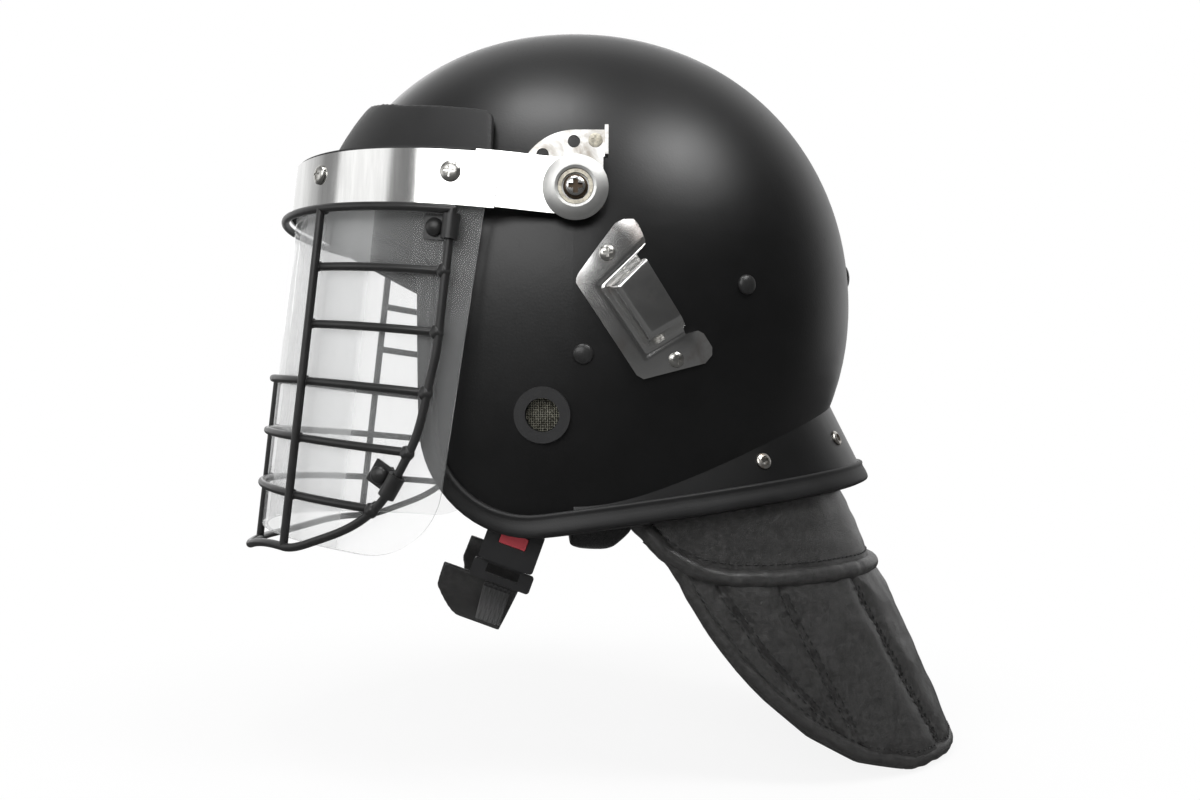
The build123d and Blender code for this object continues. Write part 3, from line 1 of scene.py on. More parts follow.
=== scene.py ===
"""Riot helmet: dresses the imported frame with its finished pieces, and lights it."""
import json
import math

import bmesh
import bpy
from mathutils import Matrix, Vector, noise

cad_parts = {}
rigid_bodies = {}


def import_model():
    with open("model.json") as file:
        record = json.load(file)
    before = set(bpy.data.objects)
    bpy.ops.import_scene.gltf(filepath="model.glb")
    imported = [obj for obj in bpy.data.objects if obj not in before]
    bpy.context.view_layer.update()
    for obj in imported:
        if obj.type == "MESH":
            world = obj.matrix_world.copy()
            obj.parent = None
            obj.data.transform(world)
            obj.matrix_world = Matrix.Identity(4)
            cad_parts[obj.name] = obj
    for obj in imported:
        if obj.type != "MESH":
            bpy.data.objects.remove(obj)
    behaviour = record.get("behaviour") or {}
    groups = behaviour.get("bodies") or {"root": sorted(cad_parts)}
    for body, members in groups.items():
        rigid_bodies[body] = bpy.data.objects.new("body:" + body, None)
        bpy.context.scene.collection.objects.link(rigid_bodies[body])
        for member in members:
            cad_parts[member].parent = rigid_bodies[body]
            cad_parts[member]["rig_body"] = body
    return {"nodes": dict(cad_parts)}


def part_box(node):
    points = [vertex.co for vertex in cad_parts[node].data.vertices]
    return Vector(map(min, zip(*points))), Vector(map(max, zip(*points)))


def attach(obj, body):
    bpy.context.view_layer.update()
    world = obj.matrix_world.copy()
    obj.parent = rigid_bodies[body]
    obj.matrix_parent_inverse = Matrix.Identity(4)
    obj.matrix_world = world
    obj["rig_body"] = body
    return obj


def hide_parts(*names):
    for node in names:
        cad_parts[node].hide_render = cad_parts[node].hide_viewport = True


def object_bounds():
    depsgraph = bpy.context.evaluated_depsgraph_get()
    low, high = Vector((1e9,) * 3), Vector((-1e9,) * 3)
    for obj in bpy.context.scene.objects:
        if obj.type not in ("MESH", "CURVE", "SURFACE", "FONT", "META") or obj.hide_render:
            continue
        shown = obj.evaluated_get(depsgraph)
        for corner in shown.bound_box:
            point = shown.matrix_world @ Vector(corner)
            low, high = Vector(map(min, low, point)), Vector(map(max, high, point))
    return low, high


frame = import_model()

bl_info = {
    "name": "Riot Helmet",
    "version": (1, 0, 0),
    "blender": (4, 5, 0),
    "location": "View3D > Sidebar > Helmet",
    "description": "Builds the finished pieces of a riot helmet on its packed frame",
    "category": "Object",
}

NODES = frame["nodes"]
FIRST_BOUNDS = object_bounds()


def body_of(node):
    """Name of the body that a node belongs to."""
    return NODES[node]["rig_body"]


# Sizes and colours that a user would change

def length(name, text, default):
    """A length property in metres."""
    return bpy.props.FloatProperty(name=name, description=text, default=default, unit="LENGTH", precision=5)


def colour(name, text, default):
    """A colour property."""
    return bpy.props.FloatVectorProperty(name=name, description=text, default=default, subtype="COLOR", size=3,
                                         min=0.0, max=1.0)


class HelmetSizes(bpy.types.PropertyGroup):
    """Sizes of the shell, the trim and the stitches."""
    half_width: length("Shell half width", "Half the shell's width at its widest level", 0.122)
    front_reach: length("Front reach", "From the shell's centre to its forehead", 0.143)
    rear_reach: length("Rear reach", "From the shell's centre to its back", 0.150)
    centre_y: length("Shell centre", "Place of the shell's centre along its length", -0.005)
    widest: length("Widest level", "Height of the shell's widest level", 0.058)
    crown_rise: length("Crown rise", "From the widest level to the crown", 0.149)
    trim_width: length("Trim width", "Width of the rubber trim on the rim", 0.0095)
    trim_lip: length("Trim lip", "How far the trim reaches past the shell's edge", 0.002)
    stitch: length("Stitch pitch", "Distance between stitches", 0.0042)


class HelmetColours(bpy.types.PropertyGroup):
    """Colours of the main finishes."""
    shell: colour("Shell", "Satin black of the shell", (0.0030, 0.0030, 0.0032))
    rubber: colour("Rubber", "Dark grey of trim and brow pad", (0.0085, 0.0085, 0.0088))
    steel: colour("Steel", "Polished steel of band, arms and hooks", (0.80, 0.80, 0.79))
    leather: colour("Leather", "Black leather of guard and chin cup", (0.0260, 0.0255, 0.0250))
    cloth: colour("Cloth", "Black cloth of the pads", (0.006, 0.006, 0.0063))
    button: colour("Button", "Red of the release button", (0.36, 0.022, 0.034))
    nylon: colour("Nylon", "Cream of the nylon rings", (0.62, 0.58, 0.48))


# Fixed places that the pieces share, in metres unless a comment says otherwise

TINY = 1e-9
FRONT_POWER, REAR_POWER = 2.2, 2.1  # roundness of the dome above its widest level
FRONT_DROP, REAR_DROP = 0.260, 0.146  # where the dome's lower ovals would close
FLARE_TOP, FLARE_HALF = 0.0064, 0.0995  # level and half width where the nape flare leaves the dome
FLARE_SIDE, FLARE_REAR = 0.27, 0.5  # how fast the flare spreads as it drops
FLARE_EASE = 0.60  # turn over which the flare's front end runs out, in radians
BROW_FRONT, BROW_CORNER = (-0.144, 0.099), (-0.076, 0.066)  # side view corners of the rim
CHEEK_CORNER, NAPE_END = (-0.028, -0.055), (0.152, -0.032)
BROW_ROUND, CHEEK_ROUND = 0.009, 0.050
PAST_SHELL = 0.26
CORNER_STEPS, EDGE_STEPS, CHEEK_STEPS = 16, 46, 12  # points along each stretch of the rim
PIVOT_Y, PIVOT_Z = -0.004, 0.101
CAGE_LEAN = math.radians(6.4)
CAGE_AXIS = Vector((0.0, math.sin(CAGE_LEAN), math.cos(CAGE_LEAN)))
CAGE_CENTRE = Vector((0.0, -0.0416, 0.020))
MERGE = 2e-6  # nearness of corners that are one


# Shader maths

def feed(tree, socket, value):
    """Link a signal to a socket, or set the socket's own value."""
    if isinstance(value, Signal):
        tree.links.new(value.socket, socket)
    else:
        socket.default_value = value


class Signal:
    """A node's output that adds Math nodes when it is used in an expression."""

    def __init__(self, tree, socket):
        self.tree = tree
        self.socket = socket

    def maths(self, operation, first, second=0.0):
        node = self.tree.nodes.new("ShaderNodeMath")
        node.operation = operation
        feed(self.tree, node.inputs[0], first)
        feed(self.tree, node.inputs[1], second)
        return Signal(self.tree, node.outputs[0])

    def __add__(self, other):
        return self.maths("ADD", self, other)

    def __radd__(self, other):
        return self.maths("ADD", other, self)

    def __sub__(self, other):
        return self.maths("SUBTRACT", self, other)

    def __rsub__(self, other):
        return self.maths("SUBTRACT", other, self)

    def __mul__(self, other):
        return self.maths("MULTIPLY", self, other)

    def __pow__(self, other):
        return self.maths("POWER", self, other)

    def __neg__(self):
        return self.maths("MULTIPLY", self, -1.0)

    def sine(self):
        return self.maths("SINE", self)

    def size(self):
        return self.maths("ABSOLUTE", self)

    def least(self, other):
        return self.maths("MINIMUM", self, other)

    def most(self, other):
        return self.maths("MAXIMUM", self, other)

    def ramp(self, low, high):
        """0 below low, 1 above high, smooth between."""
        node = self.tree.nodes.new("ShaderNodeMapRange")
        node.interpolation_type = "SMOOTHSTEP"
        feed(self.tree, node.inputs[0], self)
        feed(self.tree, node.inputs[1], low)
        feed(self.tree, node.inputs[2], high)
        return Signal(self.tree, node.outputs[0])


class Nodes:
    """A node tree that grows by one node at a time."""

    def __init__(self, tree):
        self.tree = tree

    def node(self, kind, settings=None, values=None, out=0):
        """Add a node with its settings, then its socket values, and give one output."""
        made = self.tree.nodes.new(kind)
        for key, value in (settings or {}).items():
            setattr(made, key, value)
        for key, value in (values or {}).items():
            feed(self.tree, made.inputs[key], value)
        return Signal(self.tree, made.outputs[out])

    def place(self):
        return self.node("ShaderNodeTexCoord", out="Object")

    def axis(self, index, where=None):
        return self.node("ShaderNodeSeparateXYZ", None, {0: where or self.place()}, index)


class Finish(Nodes):
    """A procedural material under construction."""

    made = {}

    def __init__(self, name):
        self.material = bpy.data.materials.new(name)
        self.material.use_nodes = True
        super().__init__(self.material.node_tree)
        self.tree.nodes.clear()
        self.shader = self.tree.nodes.new("ShaderNodeBsdfPrincipled")
        self.output = self.tree.nodes.new("ShaderNodeOutputMaterial")
        self.tree.links.new(self.shader.outputs[0], self.output.inputs[0])
        Finish.made[name] = self.material

    def stretched(self, scale, turn=(0.0, 0.0, 0.0)):
        """Object coordinates stretched by a scale on each axis."""
        return self.node("ShaderNodeMapping", {"vector_type": "POINT"},
                         {"Vector": self.place(), "Rotation": turn, "Scale": scale})

    def noise(self, scale, detail=2.0, rough=0.5, where=None, warp=0.0):
        return self.node("ShaderNodeTexNoise", None,
                         {"Vector": where or self.place(), "Scale": scale, "Detail": detail, "Roughness": rough,
                          "Distortion": warp})

    def cells(self, scale, feature="F1"):
        return self.node("ShaderNodeTexVoronoi", {"feature": feature}, {"Vector": self.place(), "Scale": scale})

    def blend(self, factor, low, high):
        """Mix two colours."""
        made = self.tree.nodes.new("ShaderNodeMix")
        made.data_type = "RGBA"
        feed(self.tree, made.inputs[0], factor)
        feed(self.tree, made.inputs[6], low if isinstance(low, Signal) else (*low, 1.0))
        feed(self.tree, made.inputs[7], high if isinstance(high, Signal) else (*high, 1.0))
        return Signal(self.tree, made.outputs[2])

    def bump(self, height, depth, strength=1.0, under=None):
        """Bump from a height of 0 to 1 that stands for a depth in metres."""
        values = {"Strength": strength, "Distance": depth, "Height": height}
        if under is not None:
            values["Normal"] = under
        return self.node("ShaderNodeBump", None, values)

    def set(self, **values):
        """Feed the shader's sockets by short names."""
        names = {"colour": "Base Color", "rough": "Roughness", "metal": "Metallic", "normal": "Normal",
                 "alpha": "Alpha", "specular": "Specular IOR Level", "sheen": "Sheen Weight",
                 "sheen_rough": "Sheen Roughness"}
        for key, value in values.items():
            if key == "colour" and not isinstance(value, Signal):
                value = (*value, 1.0)
            feed(self.tree, self.shader.inputs[names[key]], value)
        return self.material


def tint(value, factor):
    """A colour made lighter or darker."""
    return tuple(min(1.0, c * factor) for c in value)


def clouded(name, scale, low, high, rough, metal=0.0, span=None, grain=None):
    """Finish whose colour and roughness follow one cloud, with or without a fine grain in relief."""
    made = Finish(name)
    cloud = made.noise(scale, 3.0, 0.6)
    share = cloud.ramp(*span) if span else cloud
    made.set(colour=made.blend(share, low, high), rough=rough[0] + cloud * rough[1], metal=metal)
    if grain:
        fine, detail, mix, depth, strength = grain
        made.set(normal=made.bump(made.noise(fine, detail, mix), depth, strength))


def make_finishes(colours):
    """Every finish of the helmet."""
    shell = Finish("shell_satin_black")
    broad = shell.noise(22.0, 4.0, 0.6)
    peel = shell.noise(900.0, 2.0, 0.5)
    rub = shell.noise(1.0, 5.0, 0.7, shell.stretched((60.0, 420.0, 60.0), (0.3, 0.2, 0.5))).ramp(0.62, 0.72)
    c = tuple(colours.shell)
    shell.set(colour=shell.blend(broad.ramp(0.3, 0.7), tint(c, 0.85), tint(c, 1.3)),
              rough=0.33 + broad * 0.10 + rub * 0.07, specular=0.5,
              normal=shell.bump(peel, 0.00006, 0.6))

    rubber = Finish("rubber_dark_grey")
    grain = rubber.noise(1500.0, 3.0, 0.6)
    cloud = rubber.noise(40.0, 4.0, 0.6)
    c = tuple(colours.rubber)
    rubber.set(colour=rubber.blend(cloud.ramp(0.3, 0.7), tint(c, 0.8), tint(c, 1.25)),
               rough=0.46 + cloud * 0.12 + grain * 0.05, normal=rubber.bump(grain, 0.00008, 0.7))

    clouded("rubber_black", 60.0, (0.012, 0.012, 0.0125), (0.022, 0.022, 0.023), (0.5, 0.12),
            grain=(1300.0, 3.0, 0.6, 0.00008, 0.7))

    steel = Finish("steel_polished")
    # The colour is lighter and darker in vertical streaks: painted streaks of reflection.
    streak = steel.noise(1.0, 4.0, 0.6, steel.stretched((150.0, 150.0, 12.0)))
    smear = steel.noise(35.0, 4.0, 0.6)
    wave = steel.noise(1.0, 1.0, 0.4, steel.stretched((26.0, 34.0, 5.0)))
    c = tuple(colours.steel)
    steel.set(colour=steel.blend(streak.ramp(0.35, 0.7), tint(c, 0.93), tint(c, 1.1)), metal=1.0,
              rough=0.07 + smear * 0.07 + streak * 0.05,
              normal=steel.bump(wave, 0.0011, 0.6, steel.bump(streak, 0.00003, 0.5)))

    pressed = Finish("steel_pressed")
    stain = pressed.noise(85.0, 5.0, 0.62, warp=0.4)
    dull = pressed.noise(240.0, 3.0, 0.6)
    wave = pressed.noise(55.0, 2.0, 0.4)
    pressed.set(colour=pressed.blend(stain.ramp(0.38, 0.66), tint(c, 0.92), (0.36, 0.33, 0.29)), metal=1.0,
                rough=0.20 + stain * 0.22 + dull * 0.08, normal=pressed.bump(wave, 0.0007, 0.6))

    hooked = Finish("steel_hook")
    stain = hooked.noise(60.0, 5.0, 0.62, warp=0.5)
    speck = hooked.noise(900.0, 3.0, 0.6)
    wave = hooked.noise(1.0, 2.0, 0.4, hooked.stretched((40.0, 34.0, 26.0), (0.6, 0.0, 0.0)))
    hooked.set(colour=hooked.blend(stain.ramp(0.45, 0.75), tint(c, 1.05), (0.60, 0.55, 0.52)), metal=1.0,
               rough=0.12 + stain * 0.14 + speck * 0.05, normal=hooked.bump(wave, 0.0016, 0.7))

    spun = Finish("steel_spun")
    across = spun.axis(1) - PIVOT_Y
    up = spun.axis(2) - PIVOT_Z
    turn = (across * across + up * up) ** 0.5
    rings = spun.node("ShaderNodeTexNoise", {"noise_dimensions": "1D"}, {"W": turn * 5200.0, "Scale": 1.0,
                                                                        "Detail": 2.0})
    cloud = spun.noise(120.0, 3.0, 0.6)
    spun.set(colour=spun.blend(cloud, (0.60, 0.60, 0.59), (0.76, 0.76, 0.74)), metal=1.0,
             rough=0.40 + rings * 0.12 + cloud * 0.08, normal=spun.bump(rings, 0.00003, 0.6))

    cross = Finish("steel_cross_head")
    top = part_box("pivot_screws")[1][0]
    # Painted shade: below the head's top the cross recess is coloured dark brown and made rougher.
    painted_recess_shade = (top - 0.00075 - cross.axis(0).size()).ramp(0.0, 0.0002)
    cloud = cross.noise(700.0, 3.0, 0.6)
    bright = cross.blend(cloud, (0.62, 0.61, 0.59), (0.84, 0.84, 0.82))
    cross.set(colour=cross.blend(painted_recess_shade, bright, (0.10, 0.075, 0.055)), metal=1.0,
              rough=0.20 + cloud * 0.14 + painted_recess_shade * 0.25)

    clouded("steel_zinc", 300.0, (0.52, 0.51, 0.48), (0.74, 0.73, 0.70), (0.22, 0.16), metal=1.0)

    nylon = Finish("nylon_cream")
    cloud = nylon.noise(420.0, 4.0, 0.65)
    c = tuple(colours.nylon)
    nylon.set(colour=nylon.blend(cloud.ramp(0.3, 0.7), tint(c, 0.55), tint(c, 1.12)), rough=0.42 + cloud * 0.2,
              metal=0.25)

    wire = Finish("wire_satin_black")
    flow = wire.noise(160.0, 3.0, 0.6)
    grit = wire.noise(1600.0, 2.0, 0.6)
    wire.set(colour=wire.blend(flow, (0.010, 0.010, 0.010), (0.020, 0.020, 0.020)),
             rough=0.30 + flow * 0.14, normal=wire.bump(flow + grit * 0.2, 0.00015, 0.6))

    hide = Finish("leather_black")
    pores = hide.cells(1250.0, feature="DISTANCE_TO_EDGE")
    warped = hide.noise(300.0, 4.0, 0.6, warp=0.6)
    crease = hide.noise(1.0, 5.0, 0.65, hide.stretched((70.0, 70.0, 150.0)), warp=0.8)
    c = tuple(colours.leather)
    hide.set(colour=hide.blend(warped.ramp(0.3, 0.75), tint(c, 0.75), tint(c, 1.5)),
             rough=0.33 + warped * 0.16 - pores.ramp(0.0, 0.08) * 0.05, specular=0.6,
             normal=hide.bump(pores.ramp(0.0, 0.12), 0.00014, 0.8, hide.bump(crease, 0.0008, 0.6)))

    cloth = Finish("pad_cloth")
    weave_a = (cloth.axis(1) * 5200.0 + cloth.axis(0) * 2400.0).sine()
    weave_b = (cloth.axis(2) * 5200.0 - cloth.axis(0) * 2400.0).sine()
    knit = weave_a * weave_b * 0.5 + 0.5
    fuzz = cloth.noise(700.0, 4.0, 0.7)
    c = tuple(colours.cloth)
    cloth.set(colour=cloth.blend(fuzz, tint(c, 0.6), tint(c, 1.7)), rough=0.86, sheen=0.25, sheen_rough=0.4,
              normal=cloth.bump(knit + fuzz * 0.4, 0.00016, 0.8))

    foam = Finish("foam_charcoal")
    cellsize = foam.cells(620.0)
    patch = foam.noise(45.0, 3.0, 0.6)
    foam.set(colour=foam.blend(patch, (0.022, 0.022, 0.023), (0.045, 0.045, 0.046)), rough=0.9,
             normal=foam.bump(cellsize, 0.0004, 0.7))

    band = Finish("webbing_black")
    uv = band.node("ShaderNodeUVMap", None, None, 0)
    u = band.axis(0, uv)
    v = band.axis(1, uv)
    rib = (v * 3300.0 + (u * 2600.0).sine() * 1.4).sine()
    edge = (u * 2600.0).sine()
    fuzz = band.noise(900.0, 3.0, 0.7)
    band.set(colour=band.blend((rib * 0.5 + 0.5).ramp(0.1, 0.9), (0.004, 0.004, 0.004), (0.013, 0.013, 0.0135)),
             rough=0.66 + fuzz * 0.2, sheen=0.2, sheen_rough=0.4,
             normal=band.bump(rib * 0.5 + edge * 0.25 + fuzz * 0.25, 0.0003, 0.8))

    clouded("plastic_black", 90.0, (0.010, 0.010, 0.0105), (0.019, 0.019, 0.020), (0.30, 0.12),
            grain=(1700.0, 2.0, 0.5, 0.00005, 0.6))
    c = tuple(colours.button)
    clouded("plastic_red", 200.0, tint(c, 0.8), tint(c, 1.15), (0.42, 0.1), grain=(1500.0, 2.0, 0.5, 0.00006, 0.6))
    clouded("screen_wire", 500.0, (0.16, 0.155, 0.12), (0.42, 0.41, 0.34), (0.42, 0.15), metal=0.7, span=(0.3, 0.7))

    silver = Finish("rivet_silver")
    far = silver.noise(260.0, 4.0, 0.65)
    silver.set(colour=silver.blend(far.ramp(0.45, 0.75), (0.74, 0.72, 0.68), (0.36, 0.28, 0.21)), metal=1.0,
               rough=0.24 + far * 0.2)

    thread = Finish("thread_black")
    twist = (thread.axis(1) * 4200.0 + thread.axis(2) * 4200.0).sine()
    thread.set(colour=thread.blend(twist * 0.5 + 0.5, (0.012, 0.012, 0.012), (0.030, 0.030, 0.030)), rough=0.6,
               normal=thread.bump(twist, 0.0001, 0.6))

    clear = Finish("visor_clear")
    veil = clear.noise(14.0, 3.0, 0.5)
    # A Fresnel term makes the sheet more opaque at glancing angles: painted reflection.
    rim = clear.node("ShaderNodeFresnel", None, {"IOR": 1.45})
    clear.set(colour=clear.blend(veil, (0.74, 0.75, 0.75), (0.84, 0.85, 0.85)), rough=0.04 + veil * 0.03,
              alpha=(0.055 + veil * 0.02 + rim * 0.30).least(1.0), specular=0.6)
    clear.material.surface_render_method = "BLENDED"

    lip = Finish("visor_edge")
    veil = lip.noise(1.0, 4.0, 0.6, lip.stretched((90.0, 90.0, 16.0)))
    lip.set(colour=lip.blend(veil.ramp(0.35, 0.65), (0.30, 0.31, 0.31), (0.86, 0.87, 0.86)), rough=0.12 + veil * 0.1,
            alpha=0.45 + veil * 0.35, specular=0.8)
    lip.material.surface_render_method = "BLENDED"


def finish(name):
    """Finish that was made under a name."""
    return Finish.made[name]


# Shell surface: a dome of horizontal ovals, joined to the nape flare

def eased(share):
    """Share held between 0 and 1 and eased at both ends."""
    share = max(0.0, min(1.0, share))
    return share * share * (3 - 2 * share)


def level_sizes(s, z):
    """Front reach, rear reach and half width of the dome's oval at height z."""
    if z >= s.widest:
        share = min(1.0, (z - s.widest) / s.crown_rise)
        front = (1 - share ** FRONT_POWER) ** (1 / FRONT_POWER)
        rear = side = (1 - share ** REAR_POWER) ** (1 / REAR_POWER)
    else:
        drop = s.widest - z
        front = side = math.sqrt(1 - (drop / FRONT_DROP) ** 2)
        rear = math.sqrt(1 - (drop / REAR_DROP) ** 2)
    return s.front_reach * front, s.rear_reach * rear, s.half_width * side


def oval_reach(half, reach, turn):
    """Distance to an ellipse in a direction."""
    if half < TINY or reach < TINY:
        return 0.0
    return 1 / math.hypot(math.cos(turn) / half, math.sin(turn) / reach)


def eased_point(s, turn, z):
    """Point of the shell's surface, with the front end of the flare eased in."""
    front, rear, half = level_sizes(s, z)
    out = oval_reach(half, rear if math.sin(turn) > 0 else front, turn)
    drop = FLARE_TOP - z
    if drop > 0:
        flare_rear = level_sizes(s, FLARE_TOP)[1] + drop * FLARE_REAR
        skirt = oval_reach(FLARE_HALF + drop * FLARE_SIDE, flare_rear, turn)
        out += eased((turn + FLARE_EASE) / FLARE_EASE) * max(0.0, skirt - out)
    return Vector((out * math.cos(turn), s.centre_y + out * math.sin(turn), z))


def at_height(s, y, z, near=0.004, above=0.0005):
    """Point of the left side at a place along the length, and its outward direction."""
    low, high = -math.pi / 2, math.pi / 2
    for _ in range(40):
        turn = (low + high) / 2
        if eased_point(s, turn, z).y < y:
            low = turn
        else:
            high = turn
    across = eased_point(s, turn + near, z) - eased_point(s, turn - near, z)
    up = eased_point(s, turn, z + above) - eased_point(s, turn, z - above)
    return eased_point(s, turn, z), across.cross(up).normalized()


def rounded(points, radii):
    """Closed outline with rounded corners, as a dense list of points."""
    dense = []
    count = len(points)
    for i, point in enumerate(points):
        here = Vector(point)
        radius = radii.get(i, 0.0)
        if not radius:
            dense.append(here)
            continue
        back = (Vector(points[i - 1]) - here).normalized()
        ahead = (Vector(points[(i + 1) % count]) - here).normalized()
        half = back.angle(ahead) / 2
        centre = here + (back + ahead).normalized() * (radius / math.sin(half))
        first = here + back * (radius / math.tan(half)) - centre
        sweep = first.angle_signed(here + ahead * (radius / math.tan(half)) - centre)
        for part in range(CORNER_STEPS + 1):
            turn = -sweep * part / CORNER_STEPS
            dense.append(centre + Vector((first.x * math.cos(turn) - first.y * math.sin(turn),
                                          first.x * math.sin(turn) + first.y * math.cos(turn))))
    return dense


def rim_outline(inset):
    """Side view outline of the rim, drawn in by inset."""
    slope = (BROW_FRONT[1] - BROW_CORNER[1]) / (BROW_FRONT[0] - BROW_CORNER[0])
    rear = (NAPE_END[1] - CHEEK_CORNER[1]) / (NAPE_END[0] - CHEEK_CORNER[0])
    front_y = BROW_CORNER[0] + inset
    brow = BROW_CORNER[1] + inset * math.hypot(1, slope) + slope * inset
    low = CHEEK_CORNER[1] + (BROW_CORNER[0] - CHEEK_CORNER[0]) * rear + inset * math.hypot(1, rear) + rear * inset
    far = PAST_SHELL
    return rounded([(-far, brow + slope * (-far - front_y)), (front_y, brow), (front_y, low),
                    (far, low + rear * (far - front_y)), (far, far), (-far, far)],
                   {1: BROW_ROUND + inset, 2: CHEEK_ROUND - inset})


def rim_path(s, inset):
    """Points and outward directions round the whole rim, drawn in by inset."""
    edge = rim_outline(inset)
    count = CORNER_STEPS + 1
    brow, low, far = edge[1:1 + count], edge[1 + count:1 + 2 * count], edge[1 + 2 * count]
    ends = []
    for start, away, quarter in ((brow[0], edge[0], -math.pi / 2), (low[-1], far, math.pi / 2)):
        y = away.x
        for _ in range(60):
            z = start.y + (away.y - start.y) * (y - start.x) / (away.x - start.x)
            y = eased_point(s, quarter, z).y
        ends.append(Vector((y, z)))
    swing = [math.pi / 2 * i / EDGE_STEPS for i in range(EDGE_STEPS + 1)]
    flat = [ends[0].lerp(brow[0], 1 - math.cos(turn)) for turn in swing[:-1]] + brow
    flat += [brow[-1].lerp(low[0], i / CHEEK_STEPS) for i in range(1, CHEEK_STEPS)] + low
    flat += [low[-1].lerp(ends[1], math.sin(turn)) for turn in swing[1:]]
    left = [at_height(s, p.x, p.y) for p in flat]
    left[0][0].x = left[-1][0].x = 0.0
    right = [(Vector((-p.x, p.y, p.z)), Vector((-n.x, n.y, n.z))) for p, n in reversed(left[1:-1])]
    return [p for p, n in left + right], [n for p, n in left + right]


# Mesh building

def link(obj):
    """Put a new object in the scene."""
    bpy.context.scene.collection.objects.link(obj)
    return obj


def piece(name, points, faces, material, smooth=True, uv=None):
    """New mesh object from points and faces."""
    mesh = bpy.data.meshes.new(name)
    mesh.from_pydata([tuple(p) for p in points], [], faces)
    mesh.validate()
    if material:
        mesh.materials.append(material)
    if uv:
        layer = mesh.uv_layers.new(name="UVMap")
        for loop in mesh.loops:
            layer.data[loop.index].uv = uv[loop.vertex_index]
    mesh.polygons.foreach_set("use_smooth", [smooth] * len(mesh.polygons))
    return link(bpy.data.objects.new(name, mesh))


def grid(rows, columns, wrap=False, flip=False):
    """Faces of a grid of points, given row by row."""
    faces = []
    for r in range(rows - 1):
        for c in range(columns if wrap else columns - 1):
            d = (c + 1) % columns
            quad = (r * columns + c, r * columns + d, (r + 1) * columns + d, (r + 1) * columns + c)
            faces.append(quad[::-1] if flip else quad)
    return faces


def settle(obj):
    """Apply an object's modifiers to its mesh."""
    bpy.context.view_layer.update()
    graph = bpy.context.evaluated_depsgraph_get()
    made = obj.evaluated_get(graph)
    mesh = bpy.data.meshes.new_from_object(made, preserve_all_data_layers=True, depsgraph=graph)
    obj.modifiers.clear()
    old = obj.data
    obj.data = mesh
    bpy.data.meshes.remove(old)
    if not mesh.vertices:
        raise RuntimeError("Nothing was left of " + obj.name)
    return obj


def modify(obj, kind, **settings):
    """Add a modifier with its settings."""
    made = obj.modifiers.new(kind.title(), kind)
    for key, value in settings.items():
        setattr(made, key, value)
    return made


def outward(obj):
    """Merge doubles and point every face out."""
    work = bmesh.new()
    work.from_mesh(obj.data)
    bmesh.ops.remove_doubles(work, verts=work.verts, dist=1e-6)
    bmesh.ops.recalc_face_normals(work, faces=work.faces)
    work.to_mesh(obj.data)
    work.free()
    return obj


def prism(outline, reach=0.2):
    """Bar along X with a side view outline."""
    count = len(outline)
    points = [(x, p[0], p[1]) for x in (-reach, reach) for p in outline]
    faces = [tuple(range(count)), tuple(range(2 * count - 1, count - 1, -1))]
    faces += [(i, count + i, count + (i + 1) % count, (i + 1) % count) for i in range(count)]
    return outward(piece("cutter", points, faces, None, False))


def trimmed(obj, tool):
    """Keep what of an object lies inside a tool, which is then removed."""
    modify(obj, "BOOLEAN", operation="INTERSECT", solver="EXACT", object=tool)
    settle(obj)
    bpy.data.objects.remove(tool)
    return obj


def shade(obj, degrees=35.0):
    """Smooth shading with sharp edges past an angle."""
    work = bmesh.new()
    work.from_mesh(obj.data)
    for edge in work.edges:
        edge.smooth = not (edge.is_manifold and edge.calc_face_angle(0.0) > math.radians(degrees))
    for face in work.faces:
        face.smooth = True
    work.to_mesh(obj.data)
    work.free()
    return obj


def smooth(obj):
    """Smooth shading all over."""
    obj.data.polygons.foreach_set("use_smooth", [True] * len(obj.data.polygons))
    return obj


def clothe(obj, material):
    """One material and smooth shading all over."""
    obj.data.materials.clear()
    obj.data.materials.append(material)
    return smooth(obj)


def node_copy(node, name):
    """Merged copy of a CAD node, ready for modifiers."""
    mesh = NODES[node].data.copy()
    mesh.materials.clear()
    obj = link(bpy.data.objects.new(name, mesh))
    work = bmesh.new()
    work.from_mesh(mesh)
    bmesh.ops.remove_doubles(work, verts=work.verts, dist=MERGE)
    work.to_mesh(mesh)
    work.free()
    return obj


def carry(node, material, bevel, name, angle=32.0, flat=1.0):
    """Finished copy of a rigid CAD node, with its edges broken."""
    obj = node_copy(node, name)
    obj.data.materials.append(material)
    work = bmesh.new()
    work.from_mesh(obj.data)
    bmesh.ops.dissolve_limit(work, angle_limit=math.radians(flat), verts=work.verts, edges=work.edges)
    work.to_mesh(obj.data)
    work.free()
    shade(obj, angle)
    modify(obj, "BEVEL", width=bevel, segments=2, limit_method="ANGLE", angle_limit=math.radians(angle),
           use_clamp_overlap=True, harden_normals=False)
    settle(obj)
    return shade(obj, 60.0)


def done(obj, body, nodes=()):
    """Attach a finished piece to its body and hide the nodes that it stands for."""
    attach(obj, body)
    if nodes:
        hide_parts(*nodes)
    return obj


# Geometry Nodes

